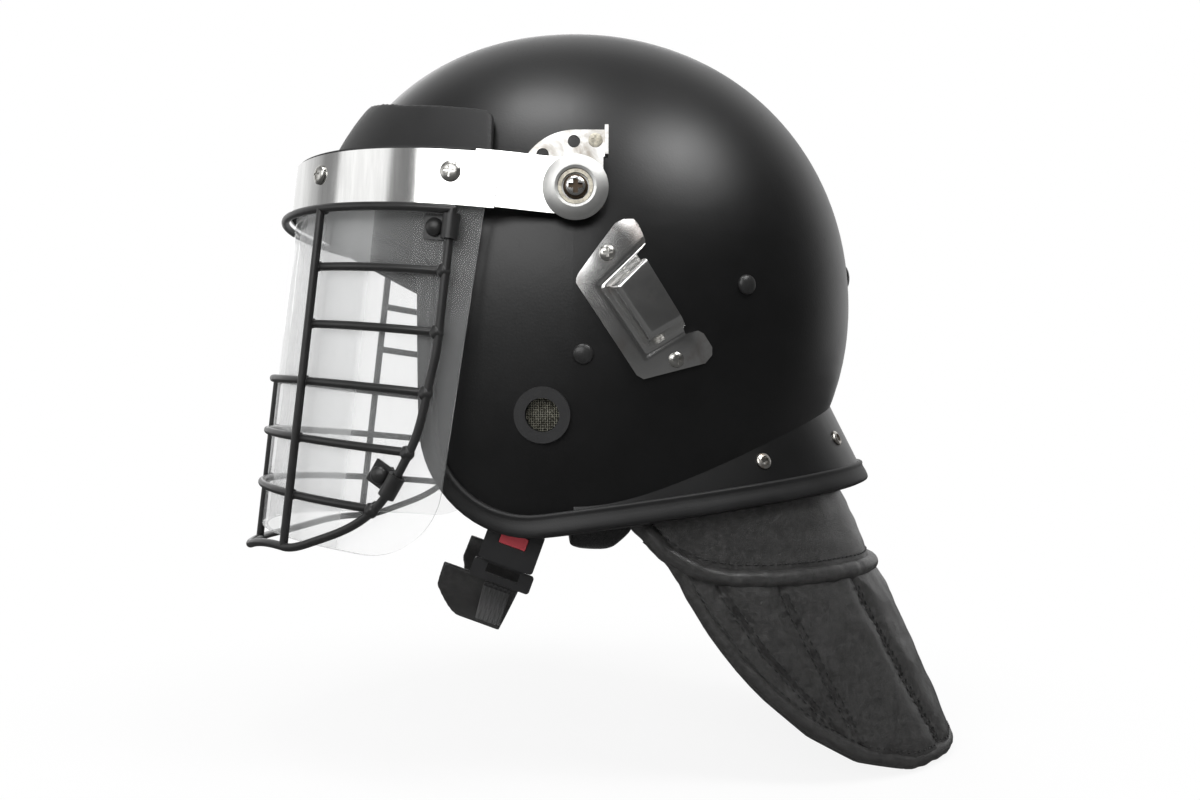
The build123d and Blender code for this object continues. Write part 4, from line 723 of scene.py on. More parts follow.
class Tree(Nodes):
    """A Geometry Nodes tree under construction."""

    def __init__(self, name):
        super().__init__(bpy.data.node_groups.new(name, "GeometryNodeTree"))
        self.entry = self.tree.nodes.new("NodeGroupInput")
        self.exit = self.tree.nodes.new("NodeGroupOutput")
        self.tree.interface.new_socket("Geometry", in_out="INPUT", socket_type="NodeSocketGeometry")
        self.tree.interface.new_socket("Geometry", in_out="OUTPUT", socket_type="NodeSocketGeometry")
        self.values = {}

    def input(self, name, kind, value):
        socket = self.tree.interface.new_socket(name, in_out="INPUT", socket_type=kind)
        self.values[socket.identifier] = value
        return Signal(self.tree, self.entry.outputs[name])

    def start(self):
        return Signal(self.tree, self.entry.outputs[0])

    def close(self, shape, paint):
        """End with real geometry in one material."""
        whole = self.node("GeometryNodeRealizeInstances", None, {0: shape})
        painted = self.node("GeometryNodeSetMaterial", None, {"Geometry": whole, "Material": paint})
        self.tree.links.new(painted.socket, self.exit.inputs[0])

    def make(self, obj):
        """Run the tree on an object and keep the plain mesh."""
        made = modify(obj, "NODES", node_group=self.tree)
        for identifier, value in self.values.items():
            made[identifier] = value
        obj.update_tag()
        return settle(obj)


def repeat(name, places, shape, material, size=1.0):
    """Copies of a small mesh at places of (point, axis, along), by Geometry Nodes."""
    mesh = bpy.data.meshes.new(name)
    mesh.from_pydata([tuple(p[0]) for p in places], [], [])
    for key, index in (("axis", 1), ("along", 2)):
        layer = mesh.attributes.new(key, "FLOAT_VECTOR", "POINT")
        layer.data.foreach_set("vector", [c for p in places for c in p[index]])
    obj = link(bpy.data.objects.new(name, mesh))
    tree = Tree(name + "_tree")
    copy = tree.input("Shape", "NodeSocketObject", shape)
    scale = tree.input("Size", "NodeSocketFloat", size)
    paint = tree.input("Finish", "NodeSocketMaterial", material)
    axis = tree.node("GeometryNodeInputNamedAttribute", {"data_type": "FLOAT_VECTOR"}, {"Name": "axis"})
    along = tree.node("GeometryNodeInputNamedAttribute", {"data_type": "FLOAT_VECTOR"}, {"Name": "along"})
    turn = tree.node("FunctionNodeAxesToRotation", {"primary_axis": "Z", "secondary_axis": "X"},
                     {0: axis, 1: along})
    made = tree.node("GeometryNodeObjectInfo", {"transform_space": "ORIGINAL"}, {"Object": copy}, "Geometry")
    points = tree.node("GeometryNodeMeshToPoints", None, {0: tree.start()})
    length_of = tree.node("ShaderNodeVectorMath", {"operation": "LENGTH"}, {0: axis}, "Value")
    grown = tree.node("ShaderNodeVectorMath", {"operation": "SCALE"}, {0: (1.0, 1.0, 1.0), "Scale": length_of})
    sized = tree.node("ShaderNodeVectorMath", {"operation": "SCALE"}, {0: grown, "Scale": scale})
    copies = tree.node("GeometryNodeInstanceOnPoints", None,
                       {"Points": points, "Instance": made, "Rotation": turn, "Scale": sized})
    tree.close(copies, paint)
    tree.make(obj)
    bpy.data.objects.remove(shape)
    return obj


def capsule(length_m, radius, sides=6):
    """Low stitch shape along X."""
    rings = [(-0.5, 0.0), (-0.42, 0.7), (-0.2, 1.0), (0.2, 1.0), (0.42, 0.7), (0.5, 0.0)]
    turns = [math.tau * i / sides for i in range(sides)]
    points = [Vector((x * length_m, radius * r * math.cos(turn), radius * r * math.sin(turn)))
              for x, r in rings for turn in turns]
    return outward(piece("stitch_shape", points, grid(len(rings), sides, wrap=True), None))


# Paths

def tubes(name, lines, radius, material, sides=6):
    """Round wires along lines of points, by Geometry Nodes."""
    mesh = bpy.data.meshes.new(name)
    points, edges = [], []
    for line in lines:
        edges += [(len(points) + i, len(points) + i + 1) for i in range(len(line) - 1)]
        points += [tuple(p) for p in line]
    mesh.from_pydata(points, edges, [])
    obj = link(bpy.data.objects.new(name, mesh))
    tree = Tree(name + "_tree")
    size = tree.input("Wire radius", "NodeSocketFloat", radius)
    count = tree.input("Sides", "NodeSocketInt", sides)
    paint = tree.input("Finish", "NodeSocketMaterial", material)
    curve = tree.node("GeometryNodeMeshToCurve", None, {0: tree.start()})
    ring = tree.node("GeometryNodeCurvePrimitiveCircle", None, {"Resolution": count, "Radius": size})
    tube = tree.node("GeometryNodeCurveToMesh", None, {"Curve": curve, "Profile Curve": ring, "Fill Caps": True})
    tree.close(tube, paint)
    return smooth(tree.make(obj))


def spread(points, pitch):
    """Evenly spaced points along a path, with their directions."""
    runs = [(b - a).length for a, b in zip(points, points[1:])]
    total = sum(runs)
    count = max(2, int(total / pitch))
    result = []
    index, walked = 0, 0.0
    for i in range(count):
        want = total * (i + 0.5) / count
        while walked + runs[index] < want and index < len(runs) - 1:
            walked += runs[index]
            index += 1
        share = (want - walked) / max(runs[index], TINY)
        here, ahead = points[index], points[index + 1]
        result.append((here.lerp(ahead, share), (ahead - here).normalized()))
    return result


def sweep(name, path, normals, section, material, closed=False):
    """Sweep a section of (out, across) along a path with given outward normals."""
    points, count = [], len(path)
    for i, here in enumerate(path):
        ahead = path[(i + 1) % count] if closed or i < count - 1 else here
        behind = path[i - 1] if closed or i > 0 else here
        forward = (ahead - behind).normalized()
        out = normals[i] - forward * normals[i].dot(forward)
        out.normalize()
        side = forward.cross(out)
        points += [here + out * a + side * b for a, b in section]
    sides = len(section)
    rows = count + 1 if closed else count
    faces = [tuple(index % len(points) for index in face) for face in grid(rows, sides, wrap=True)]
    if not closed:
        faces += [tuple(range(sides)), tuple(range(len(points) - 1, len(points) - 1 - sides, -1))]
    return outward(piece(name, points, faces, material))


def ring_section(radius, sides, flat=1.0):
    """Round section of (out, across), flattened across."""
    return [(radius * math.cos(math.tau * i / sides), radius * flat * math.sin(math.tau * i / sides))
            for i in range(sides)]


def slab_section(thick, width, corner, steps=4):
    """Rounded rectangle section of (out, across)."""
    corner = min(corner, thick / 2, width / 2)
    result = []
    for sx, sy, start in ((1, 1, 0), (-1, 1, 90), (-1, -1, 180), (1, -1, 270)):
        for i in range(steps + 1):
            turn = math.radians(start + 90 * i / steps)
            result.append((sx * (thick / 2 - corner) + corner * math.cos(turn),
                           sy * (width / 2 - corner) + corner * math.sin(turn)))
    return result


# Neck guard surface: its lines are pairs of place along the length and height

GUARD_Y, GUARD_TOP = 0.040, -0.030
GUARD_HALF, GUARD_REAR = 0.097, 0.0965
GUARD_SIDE_LEAN, GUARD_REAR_LEAN = 0.06, 0.45  # spread for each metre down
GUARD_GIRTH = 0.00215  # length of skin for each degree
GUARD_MIDDLE = -0.150
FLAP_TOP = -0.083
FLAP_LOW = ((0.0275, -0.0590), (0.036, -0.0668), (0.044, -0.0745), (0.0505, -0.0868), (0.0544, -0.0932),
            (0.0615, -0.104), (0.0685, -0.113), (0.0756, -0.1214), (0.0827, -0.129), (0.090, -0.136),
            (0.112, -0.154), (0.138, -0.1685), (0.166, -0.1765), (0.230, -0.1768))
# Channel seams, as pairs of degrees round the guard and height
FLAP_SEAMS = (((11.9, -0.083), (20.0, -0.113), (31.1, -0.147)),
              ((26.7, -0.083), (31.0, -0.113), (36.6, -0.152)),
              ((52.4, -0.083), (57.5, -0.120), (64.6, -0.172)))
PIPING = ((0.0240, -0.0500), (0.032, -0.0580), (0.038, -0.0645), (0.046, -0.0700), (0.056, -0.0745),
          (0.070, -0.0772), (0.088, -0.0780), (0.300, -0.0780))
THREAD_LIFT = 0.0002
LEAST_FLAP = 0.002
SKIN_REACH = 0.015


def along_line(line, y):
    """Height on a line of points at a place along its length."""
    for (ya, za), (yb, zb) in zip(line, line[1:]):
        if y <= yb:
            return za + (zb - za) * max(0.0, y - ya) / (yb - ya)
    return line[-1][1]


def guard_point(turn, z, inset=0.0):
    """Point of the guard's leaning oval and its outward direction."""
    drop = GUARD_TOP - z
    half = GUARD_HALF + drop * GUARD_SIDE_LEAN - inset
    rear = GUARD_REAR + drop * GUARD_REAR_LEAN - inset if math.sin(turn) > 0 else half
    out = Vector((math.cos(turn) / half, math.sin(turn) / rear, 0.0)).normalized()
    return Vector((half * math.cos(turn), GUARD_Y + rear * math.sin(turn), z)), out


def guard_path(first, last, count, height, inset=0.0):
    """Points and outward directions from one turn in degrees to another, at the heights of a function."""
    path, normals = [], []
    for i in range(count + 1):
        turn = math.radians(first + (last - first) * i / count)
        at, out = guard_point(turn, height(turn), inset)
        path.append(at)
        normals.append(out)
    return path, normals


def roll_height(turn):
    """Height of the collar's roll in a direction."""
    z = PIPING[-1][1]
    for _ in range(12):
        z = along_line(PIPING, guard_point(turn, z)[0].y)
    return z


def on_skin(obj, at, out):
    """Point a thread's lift above an object's skin, straight in from outside."""
    hit, where, normal, _ = obj.ray_cast(at + out * SKIN_REACH, -out, distance=2 * SKIN_REACH)
    return where + out * THREAD_LIFT if hit else at


def flap_low(turn):
    """Height of the flap's lower edge in a direction."""
    z = GUARD_MIDDLE
    for _ in range(30):
        z += (along_line(FLAP_LOW, guard_point(turn, z)[0].y) - z) * 0.5
    return min(z, roll_height(turn) - LEAST_FLAP)


def seam_turn(seam, z):
    """Direction of a channel seam at a height, in degrees."""
    for (ta, za), (tb, zb) in zip(seam, seam[1:]):
        if z >= zb or (tb, zb) == seam[-1]:
            return ta + (tb - ta) * (z - za) / (zb - za)
    return seam[-1][0]


def seam_gap(turn, z):
    """Distance from the nearest channel seam."""
    degrees = math.degrees(turn)
    degrees = min(degrees, 180 - degrees)
    return min(abs(degrees - seam_turn(seam, z)) for seam in FLAP_SEAMS) * GUARD_GIRTH


# Panel entries and the operators

STEPS = []


def step(label):
    """Class maker that lists an operator for the panel and the run."""
    def listed(made):
        made.bl_label = label
        made.bl_options = {"REGISTER", "UNDO"}
        STEPS.append(made)
        return made
    return listed


def soft_copy(node, material, voxel, passes):
    """Copy of a soft CAD node, remeshed finely and rounded."""
    obj = node_copy(node, node + "_soft")
    modify(obj, "REMESH", mode="VOXEL", voxel_size=voxel, use_smooth_shade=True)
    modify(obj, "SMOOTH", factor=0.5, iterations=passes)
    return clothe(settle(obj), material)


def wrinkle(obj, depth, scale):
    """Move a soft piece's skin in and out in stretched folds."""
    shape = obj.data
    normals = [v.normal.copy() for v in shape.vertices]
    for vertex, normal in zip(shape.vertices, normals):
        at = Vector((vertex.co[i] * scale[i] for i in range(3)))
        fold = noise.noise(at) + 0.5 * noise.noise(at * 2.3 + Vector((3.1, 1.7, 5.2)))
        vertex.co += normal * (depth * fold)
    return obj


def inflate(node, material, voxel=0.004, shrink=0.002, pressure=3.0, cap=0.004, frames=20):
    """Padded piece: a cloth skin over the CAD solid, blown up by no more than a cap."""
    obj = node_copy(node, node + "_padded")
    modify(obj, "REMESH", mode="VOXEL", voxel_size=voxel)
    settle(obj)
    for _ in range(2):
        modify(obj, "SMOOTH", factor=0.5, iterations=3)
    settle(obj)
    normals = [v.normal.copy() for v in obj.data.vertices]
    for vertex, normal in zip(obj.data.vertices, normals):
        vertex.co -= normal * shrink
    start = [v.co.copy() for v in obj.data.vertices]
    cloth = modify(obj, "CLOTH")
    cloth.settings.use_pressure = True
    cloth.settings.uniform_pressure_force = pressure
    cloth.settings.effector_weights.gravity = 0.0
    cloth.settings.quality = 5
    cloth.settings.tension_stiffness = 15
    cloth.settings.bending_stiffness = 2.0
    cloth.point_cache.frame_start = 1
    cloth.point_cache.frame_end = frames
    for frame_number in range(1, frames + 1):
        bpy.context.scene.frame_set(frame_number)
    settle(obj)
    bpy.context.scene.frame_set(1)
    for vertex, was in zip(obj.data.vertices, start):
        moved = vertex.co - was
        if moved.length > cap:
            vertex.co = was + moved * (cap / moved.length)
    modify(obj, "SUBSURF", levels=1, render_levels=1)
    return clothe(settle(obj), material)


def paint(node, material):
    """Give a CAD node that stays its finish."""
    obj = NODES[node]
    if not obj.data.materials:
        obj.data.materials.append(material)
    for index in range(len(obj.data.materials)):
        obj.data.materials[index] = material
    for slot in obj.material_slots:
        slot.material = material


@step("Finishes")
class MakeFinishes(bpy.types.Operator):
    """Make the procedural finishes."""
    bl_idname = "helmet.finishes"

    def execute(self, context):
        make_finishes(context.scene.helmet_colours)
        return {"FINISHED"}


CAMERA_PLACE = (0.610, 0.0, -0.0047)
CAMERA_LENS, CAMERA_SHIFT = 32.67, (0.0129, 0.021)  # millimetres, and shares of the picture
FLOOR_HALF, FLOOR_GAP = 3.0, 0.001
WHITE = (1.0, 1.0, 1.0, 1.0)
# Lamps: name, place, aim, width and height in metres, and power in watts
LAMPS = (
    ("camera_softbox", (1.307, -0.520, 0.640), (0.0, -0.02, 0.05), 1.30, 0.68, 11.0),
    ("front_overhead", (0.46, -0.20, 1.27), (0.0, -0.02, 0.10), 0.50, 0.30, 5.6),
    ("rear_overhead", (0.63, 0.70, 1.12), (0.0, 0.02, 0.10), 0.54, 0.38, 8.2),
    ("front_softbox", (0.35, -1.60, 0.35), (0.0, -0.02, 0.02), 0.9, 0.9, 2.2),
    ("far_softbox", (-1.30, -0.20, 0.60), (0.0, 0.0, 0.0), 1.1, 0.9, 5.0),
)


def make_camera(scene):
    """Camera square at the helmet's left side."""
    data = bpy.data.cameras.new("photo_camera")
    data.lens = CAMERA_LENS
    data.sensor_width = 36.0
    data.shift_x, data.shift_y = CAMERA_SHIFT
    camera = link(bpy.data.objects.new("photo_camera", data))
    camera.location = CAMERA_PLACE
    camera.rotation_euler = (math.radians(90), 0.0, math.radians(90))
    scene.camera = camera


def make_world(scene):
    """White backdrop that the shell mirrors only from behind, ahead and above."""
    world = bpy.data.worlds.new("studio")
    scene.world = world
    world.use_nodes = True
    room = Nodes(world.node_tree)
    room.tree.nodes.clear()
    seen = room.node("ShaderNodeLightPath", out="Is Camera Ray")
    mirror = room.node("ShaderNodeLightPath", out="Is Glossy Ray")
    through = room.node("ShaderNodeLightPath", out="Is Transmission Ray")
    way = room.node("ShaderNodeTexCoord", out="Generated")
    behind = (-room.axis(0, way)).ramp(0.10, 0.75)
    ahead = (-room.axis(1, way)).ramp(0.45, 0.95) * 0.30
    overhead = room.axis(2, way).ramp(0.55, 0.95) * 0.30
    shine = behind.most(ahead).most(overhead).most(0.035)
    level = seen.most(through).most(mirror * shine).most((1 - mirror) * 0.40)
    back = room.node("ShaderNodeBackground", None, {"Color": WHITE, "Strength": level})
    output = room.tree.nodes.new("ShaderNodeOutputWorld")
    room.tree.links.new(back.socket, output.inputs[0])


def make_floor():
    """Pale paper floor just under the helmet, brighter where the camera sees it far out."""
    paper = Finish("floor_paper")
    reach = paper.place()
    far = (paper.axis(0, reach) ** 2.0 + paper.axis(1, reach) ** 2.0) ** 0.5
    look = paper.node("ShaderNodeLightPath", out="Is Camera Ray")
    mirrored = paper.node("ShaderNodeLightPath", out="Is Glossy Ray")
    glow = paper.node("ShaderNodeEmission", None, {"Color": WHITE, "Strength": 1 - mirrored * 0.90})
    paper.set(colour=(0.86, 0.86, 0.86), rough=0.9)
    share = (look * (far.ramp(0.16, 0.42) * 0.12 + 0.88)).most(mirrored)
    mixed = paper.tree.nodes.new("ShaderNodeMixShader")
    feed(paper.tree, mixed.inputs[0], share)
    paper.tree.links.new(paper.shader.outputs[0], mixed.inputs[1])
    paper.tree.links.new(glow.socket, mixed.inputs[2])
    paper.tree.links.new(mixed.outputs[0], paper.output.inputs[0])
    size, level = FLOOR_HALF, FIRST_BOUNDS[0][2] - FLOOR_GAP
    corners = [(x * size, y * size, level) for x, y in ((-1, -1), (1, -1), (1, 1), (-1, 1))]
    piece("floor", corners, [(0, 1, 2, 3)], paper.material, False)


def make_lamp(name, place, aim, across, high, power):
    """Soft rectangular lamp at a place, turned to its aim."""
    light = bpy.data.lights.new(name, "AREA")
    light.shape = "RECTANGLE"
    light.size = across
    light.size_y = high
    light.energy = power
    made = link(bpy.data.objects.new(name, light))
    made.location = place
    made.rotation_euler = (Vector(aim) - Vector(place)).to_track_quat("-Z", "Y").to_euler()


@step("Stage")
class MakeStage(bpy.types.Operator):
    """Make the floor, the background, the lamps and the camera."""
    bl_idname = "helmet.stage"

    def execute(self, context):
        context.scene.view_settings.view_transform = "Standard"
        make_camera(context.scene)
        make_world(context.scene)
        make_floor()
        for lamp in LAMPS:
            make_lamp(*lamp)
        return {"FINISHED"}


# Finishes of the parts that are carried over from the frame
KEPT = {
    "shell_satin_black": ("outer_shell",),
    "rubber_black": ("ear_grommets", "band_gasket"),
    "foam_charcoal": ("impact_liner",),
    "nylon_cream": ("plate_screws", "pivot_washers", "pivot_rings"),
    "steel_zinc": ("hook_screws", "strap_anchors", "plate_spacers", "pivot_bushes", "pivot_nuts", "detent_pegs",
                   "band_screws", "band_nuts", "hanger_ring"),
    "steel_spun": ("pivot_discs",),
    "steel_cross_head": ("pivot_screws",),
    "steel_polished": ("visor_band", "arm_left", "arm_right"),
    "steel_pressed": ("detent_plate_left", "detent_plate_right"),
    "rivet_silver": ("nape_rivets",),
    "wire_satin_black": ("shell_rivets", "cage_frame", "cage_uprights", "cage_side_bars", "cage_cross_bars",
                         "cage_clamps", "clamp_screws", "clamp_nuts"),
    "plastic_black": ("buckle_socket", "buckle_tongue"),
    "plastic_red": ("release_button",),
}


@step("Plain parts")
class PaintParts(bpy.types.Operator):
    """Give every carried over part its finish."""
    bl_idname = "helmet.parts"

    def execute(self, context):
        for name, nodes in KEPT.items():
            for node in nodes:
                paint(node, finish(name))
        return {"FINISHED"}


# Rim trim's section in millimetres: out from the rim, and across it
TRIM_SECTION = ((-0.6, -5.65), (0.7, -5.8), (1.7, -5.5), (2.15, -4.9), (2.1, -4.2), (1.7, -3.6), (1.5, -2.6),
                (1.65, -0.6), (1.75, 1.0), (1.65, 2.8), (1.25, 4.0), (0.5, 4.6), (-0.6, 4.75), (-3.6, 4.75),
                (-4.8, 4.4), (-5.4, 3.6), (-5.5, 0.0), (-5.4, -4.4), (-4.8, -5.2), (-3.8, -5.6))


@step("Rubber")
class MakeRubber(bpy.types.Operator):
    """Make the rim trim and the brow pad."""
    bl_idname = "helmet.rubber"

    def execute(self, context):
        s = context.scene.helmet_sizes
        path, normals = rim_path(s, s.trim_width / 2 - s.trim_lip)
        trim = sweep("edge_trim_moulded", path, normals, [(a / 1000, b / 1000) for a, b in TRIM_SECTION],
                     finish("rubber_dark_grey"), closed=True)
        done(trim, body_of("edge_trim"), ("edge_trim",))
        made = soft_copy("brow_pad", finish("rubber_dark_grey"), 0.0013, 3)
        done(made, body_of("brow_pad"), ("brow_pad",))
        return {"FINISHED"}


@step("Comfort pads")
class MakePads(bpy.types.Operator):
    """Blow up the crown pad, sweatband, nape pad and cheek pads."""
    bl_idname = "helmet.pads"

    def execute(self, context):
        for node in ("crown_pad", "sweatband", "nape_pad", "cheek_pad_left", "cheek_pad_right"):
            made = inflate(node, finish("pad_cloth"))
            done(made, body_of(node), (node,))
        return {"FINISHED"}


# Mask hook plate's outline, pocket and raised wing, as millimetres along the length and up
HOOK = ((17.7, 88.0), (22.0, 88.0), (24.0, 86.0), (27.3, 78.7), (27.3, 76.9), (23.5, 72.0), (24.9, 69.0),
        (27.3, 69.4), (45.7, 40.4), (44.9, 39.2), (45.9, 36.6), (51.7, 38.4), (54.4, 37.1), (58.5, 31.0),
        (58.5, 27.4), (55.3, 23.6), (26.7, 16.0), (23.5, 17.8), (-3.8, 58.8), (-3.8, 60.8), (-2.9, 63.0),
        (13.7, 86.1))
POCKET = ((9.2, 57.2), (23.5, 71.5), (44.6, 39.3), (28.4, 29.4))
WING = ((24.0, 70.0), (46.0, 38.5))
POCKET_SLOPE, POCKET_LEAD, WING_REACH = 6.0, 1.0, 9.0
BEAD_AT, BEAD_HALF = 1.6, 1.1
# The rest of the plate in metres
POCKET_DEPTH, WING_LIFT, BEAD_DEPTH = 0.0062, 0.0014, 0.0005
HOOK_STAND, HOOK_THICKNESS = 0.0014, 0.0012
HOOK_ROWS, HOOK_COLUMNS, HOOK_PITCH = 101, 90, 0.00078
HOOK_START = (-0.006, 0.0135)
HOOK_BEVEL, HOOK_CREASE, HOOK_EDGE = 0.0002, 40.0, 50.0


def side_at(s, y, z):
    """Distance of the shell's side from the centre plane."""
    front, rear, half = level_sizes(s, z)
    reach = rear if y > s.centre_y else front
    return half * math.sqrt(max(0.0, 1 - ((y - s.centre_y) / reach) ** 2))


def beyond(point, start, end):
    """Signed distance of a point to the left of a line, in the line's units."""
    way = Vector(end) - Vector(start)
    away = Vector(point) - Vector(start)
    return (way.x * away.y - way.y * away.x) / way.length


def pressed_out(s, y, z):
    """Distance of the hook plate's outer face from the centre plane."""
    here = (y * 1000, z * 1000)
    inside = min(beyond(here, POCKET[1], POCKET[0]), beyond(here, POCKET[0], POCKET[3]),
                 beyond(here, POCKET[3], POCKET[2]))
    rise = POCKET_DEPTH * eased((inside + POCKET_LEAD) / POCKET_SLOPE)
    wing = max(0.0, min(1.0, beyond(here, *WING) / WING_REACH))
    bead = BEAD_DEPTH * math.exp(-((inside + BEAD_AT) / BEAD_HALF) ** 2)
    return side_at(s, y, z) + HOOK_STAND + rise + WING_LIFT * wing * wing - bead


@step("Mask hooks")
class MakeHooks(bpy.types.Operator):
    """Press the two mask hook plates with their raised pockets."""
    bl_idname = "helmet.hooks"

    def execute(self, context):
        s = context.scene.helmet_sizes
        for side, node in ((1, "mask_hook_left"), (-1, "mask_hook_right")):
            places = [(HOOK_START[0] + c * HOOK_PITCH, HOOK_START[1] + r * HOOK_PITCH)
                      for r in range(HOOK_ROWS) for c in range(HOOK_COLUMNS)]
            points = [(side * pressed_out(s, y, z), y, z) for y, z in places]
            faces = grid(HOOK_ROWS, HOOK_COLUMNS, flip=side < 0)
            plate = piece(node + "_pressed", points, faces, finish("steel_hook"))
            modify(plate, "SOLIDIFY", thickness=HOOK_THICKNESS, offset=-1, use_even_offset=True)
            settle(plate)
            trimmed(plate, prism([Vector((y / 1000, z / 1000)) for y, z in HOOK]))
            shade(plate, HOOK_CREASE)
            modify(plate, "BEVEL", width=HOOK_BEVEL, segments=2, angle_limit=math.radians(HOOK_EDGE))
            settle(plate)
            done(plate, body_of(node), (node,))
        return {"FINISHED"}


SHEET_BEVEL = 0.0004
EDGE_FACING = 0.6  # below it a face of the sheet belongs to its sawn edge


@step("Visor sheet")
class MakeVisor(bpy.types.Operator):
    """Make the clear sheet with its bright sawn edges."""
    bl_idname = "helmet.visor"

    def execute(self, context):
        sheet = carry("visor_sheet", finish("visor_clear"), SHEET_BEVEL, "visor_sheet_clear")
        sheet.data.materials.append(finish("visor_edge"))
        for face in sheet.data.polygons:
            away = face.center - CAGE_CENTRE
            away -= CAGE_AXIS * away.dot(CAGE_AXIS)
            if abs(face.normal.dot(away.normalized())) < EDGE_FACING:
                face.material_index = 1
        done(sheet, body_of("visor_sheet"), ("visor_sheet",))
        return {"FINISHED"}


# Cage bars: heights in metres, places round the cage in degrees
BAR_TOP, BAR_PITCH, BAR_COUNT = 0.0687, 0.0274, 6
UPRIGHT_DEGREES, FRAME_DEGREES = 44.7, 78.6
LOW_FRAME_DEGREES = (77.7, 75.3, 68.9)
BAR_WELD_RADIUS, FRAME_WELD_RADIUS, BLOB_RADIUS = 0.1276, 0.1290, 0.0021
BAR_BEAD, FRAME_BEAD, LOW_BEAD = 1.0, 1.5, 1.55  # sizes of the beads
BLOB_LUMP, BLOB_SCALE, BLOB_STRETCH = 0.35, 620.0, 1.15


def cage_point(degrees, height, radius):
    """Point on the cage's leaning cylinder, and its outward direction."""
    turn = math.radians(degrees)
    ahead = Vector((0.0, -math.cos(CAGE_LEAN), math.sin(CAGE_LEAN)))
    out = Vector((math.sin(turn), 0.0, 0.0)) + ahead * math.cos(turn)
    return CAGE_CENTRE + CAGE_AXIS * height + out * radius, out


@step("Weld beads")
class MakeWelds(bpy.types.Operator):
    """Lay a weld bead at every joint of the cage wires."""
    bl_idname = "helmet.welds"

    def execute(self, context):
        heights = [BAR_TOP - BAR_PITCH * i for i in range(BAR_COUNT)]
        joints = [(UPRIGHT_DEGREES, h, BAR_BEAD) for h in heights]
        joints += [(FRAME_DEGREES, h, FRAME_BEAD) for h in heights[1:3]]
        joints += [(reach, h, LOW_BEAD) for reach, h in zip(LOW_FRAME_DEGREES, heights[3:])]
        joints += [(0.0, h, BAR_BEAD) for h in heights[3:]]
        places = []
        for degrees, height, size in joints:
            for side in ((1, -1) if degrees else (1,)):
                radius = BAR_WELD_RADIUS if size == BAR_BEAD else FRAME_WELD_RADIUS
                at, out = cage_point(side * degrees, height, radius)
                places.append((at, out * size, CAGE_AXIS))
        blob = bpy.data.meshes.new("weld_blob")
        work = bmesh.new()
        bmesh.ops.create_icosphere(work, subdivisions=3, radius=BLOB_RADIUS)
        for vertex in work.verts:
            vertex.co *= 1.0 + BLOB_LUMP * noise.noise(vertex.co * BLOB_SCALE + Vector((7.0, 1.0, 3.0)))
            vertex.co.x *= BLOB_STRETCH
        work.to_mesh(blob)
        work.free()
        shape = smooth(link(bpy.data.objects.new("weld_blob", blob)))
        made = repeat("weld_beads", places, shape, finish("wire_satin_black"))
        done(made, body_of("cage_frame"), ())
        return {"FINISHED"}


SCREEN_PITCH, SCREEN_SWELL, SCREEN_RADIUS, SCREEN_WIRE = 0.00105, 0.00022, 0.0076, 0.00021
SCREEN_LINES = 7  # wires on each side of the middle one


def screen_seat(side):
    """Centre of a side's ear screen, and its outward, forward and upward directions."""
    mesh = NODES["ear_screens"].data
    corners = [v.co for v in mesh.vertices if v.co.x * side > 0]
    out = Vector()
    for face in mesh.polygons:
        if face.normal.x * side > 0.5 and face.center.x * side > 0:
            out += face.normal * face.area
    out.normalize()
    along = Vector((0.0, 1.0, 0.0))
    along = (along - out * along.dot(out)).normalized()
    return sum(corners, Vector()) / len(corners), out, along, out.cross(along)


@step("Ear screens")
class MakeScreens(bpy.types.Operator):
    """Weave the two ear screens from wavy wires."""
    bl_idname = "helmet.screens"

    def execute(self, context):
        lines = []
        for side in (1, -1):
            centre, out, along, up = screen_seat(side)
            for first, second, sign in ((along, up, 1), (up, along, -1)):
                for n in range(-SCREEN_LINES, SCREEN_LINES + 1):
                    half = math.sqrt(max(0.0, SCREEN_RADIUS ** 2 - (n * SCREEN_PITCH) ** 2))
                    count = max(4, int(half / SCREEN_PITCH * 10))
                    line = []
                    for i in range(count + 1):
                        t = -half + 2 * half * i / count
                        wave = sign * SCREEN_SWELL * math.cos(math.pi * (t / SCREEN_PITCH + n))
                        line.append(centre + second * (n * SCREEN_PITCH) + first * t + out * wave)
                    lines.append(line)
        made = tubes("ear_screens_woven", lines, SCREEN_WIRE, finish("screen_wire"))
        done(made, body_of("ear_screens"), ("ear_screens",))
        return {"FINISHED"}


FLAP_ROWS, FLAP_COLUMNS, FLAP_THICKNESS = 80, 420, 0.0052
FLAP_FIRST, FLAP_LAST = -4.5, 184.5  # degrees round the guard
PUFF, PUFF_REACH = 0.0026, 0.0075  # quilting's rise, and the way from a seam that it takes
SEAM_DEPTH, SEAM_HALF = 0.0012, 0.0012
PUCKER, PUCKER_HALF, PUCKER_SCALE = 0.0011, 0.0055, 290.0
CREASES = ((55.0, 0.0009), (140.0, 0.0004))  # scale and depth of the leather's creases
FLAP_SINK, UNDER_ROLL, PAST_EDGE, ROLL_SHADE = 0.0002, 0.001, 0.0015, 0.002
LEATHERS = (("neck_gusset", 0.0010, 0.0003), ("neck_collar", 0.0013, 0.0012))  # node, remesh grid, depth of folds
LEATHER_FOLDS, ROLL_FOLDS, EDGE_FOLDS = (26.0, 26.0, 60.0), (90.0, 90.0, 40.0), (120.0, 120.0, 120.0)
ROLL_FOLD, EDGE_FOLD = 0.0007, 0.0005
ROLL_FIRST, ROLL_LAST, ROLL_COUNT, ROLL_INSET = -9.0, 189.0, 360, 0.0016
EDGE_FIRST, EDGE_LAST, EDGE_COUNT = -6.0, 186.0, 220
EDGE_RISE, EDGE_INSET = 0.0036, 0.0022
ROLL_RADIUS, BINDING, LINING_RADIUS = 0.0047, (0.0076, 0.0072, 0.0034), 0.0019
LINING_IN, LINING_DROP = 0.0042, 0.0026
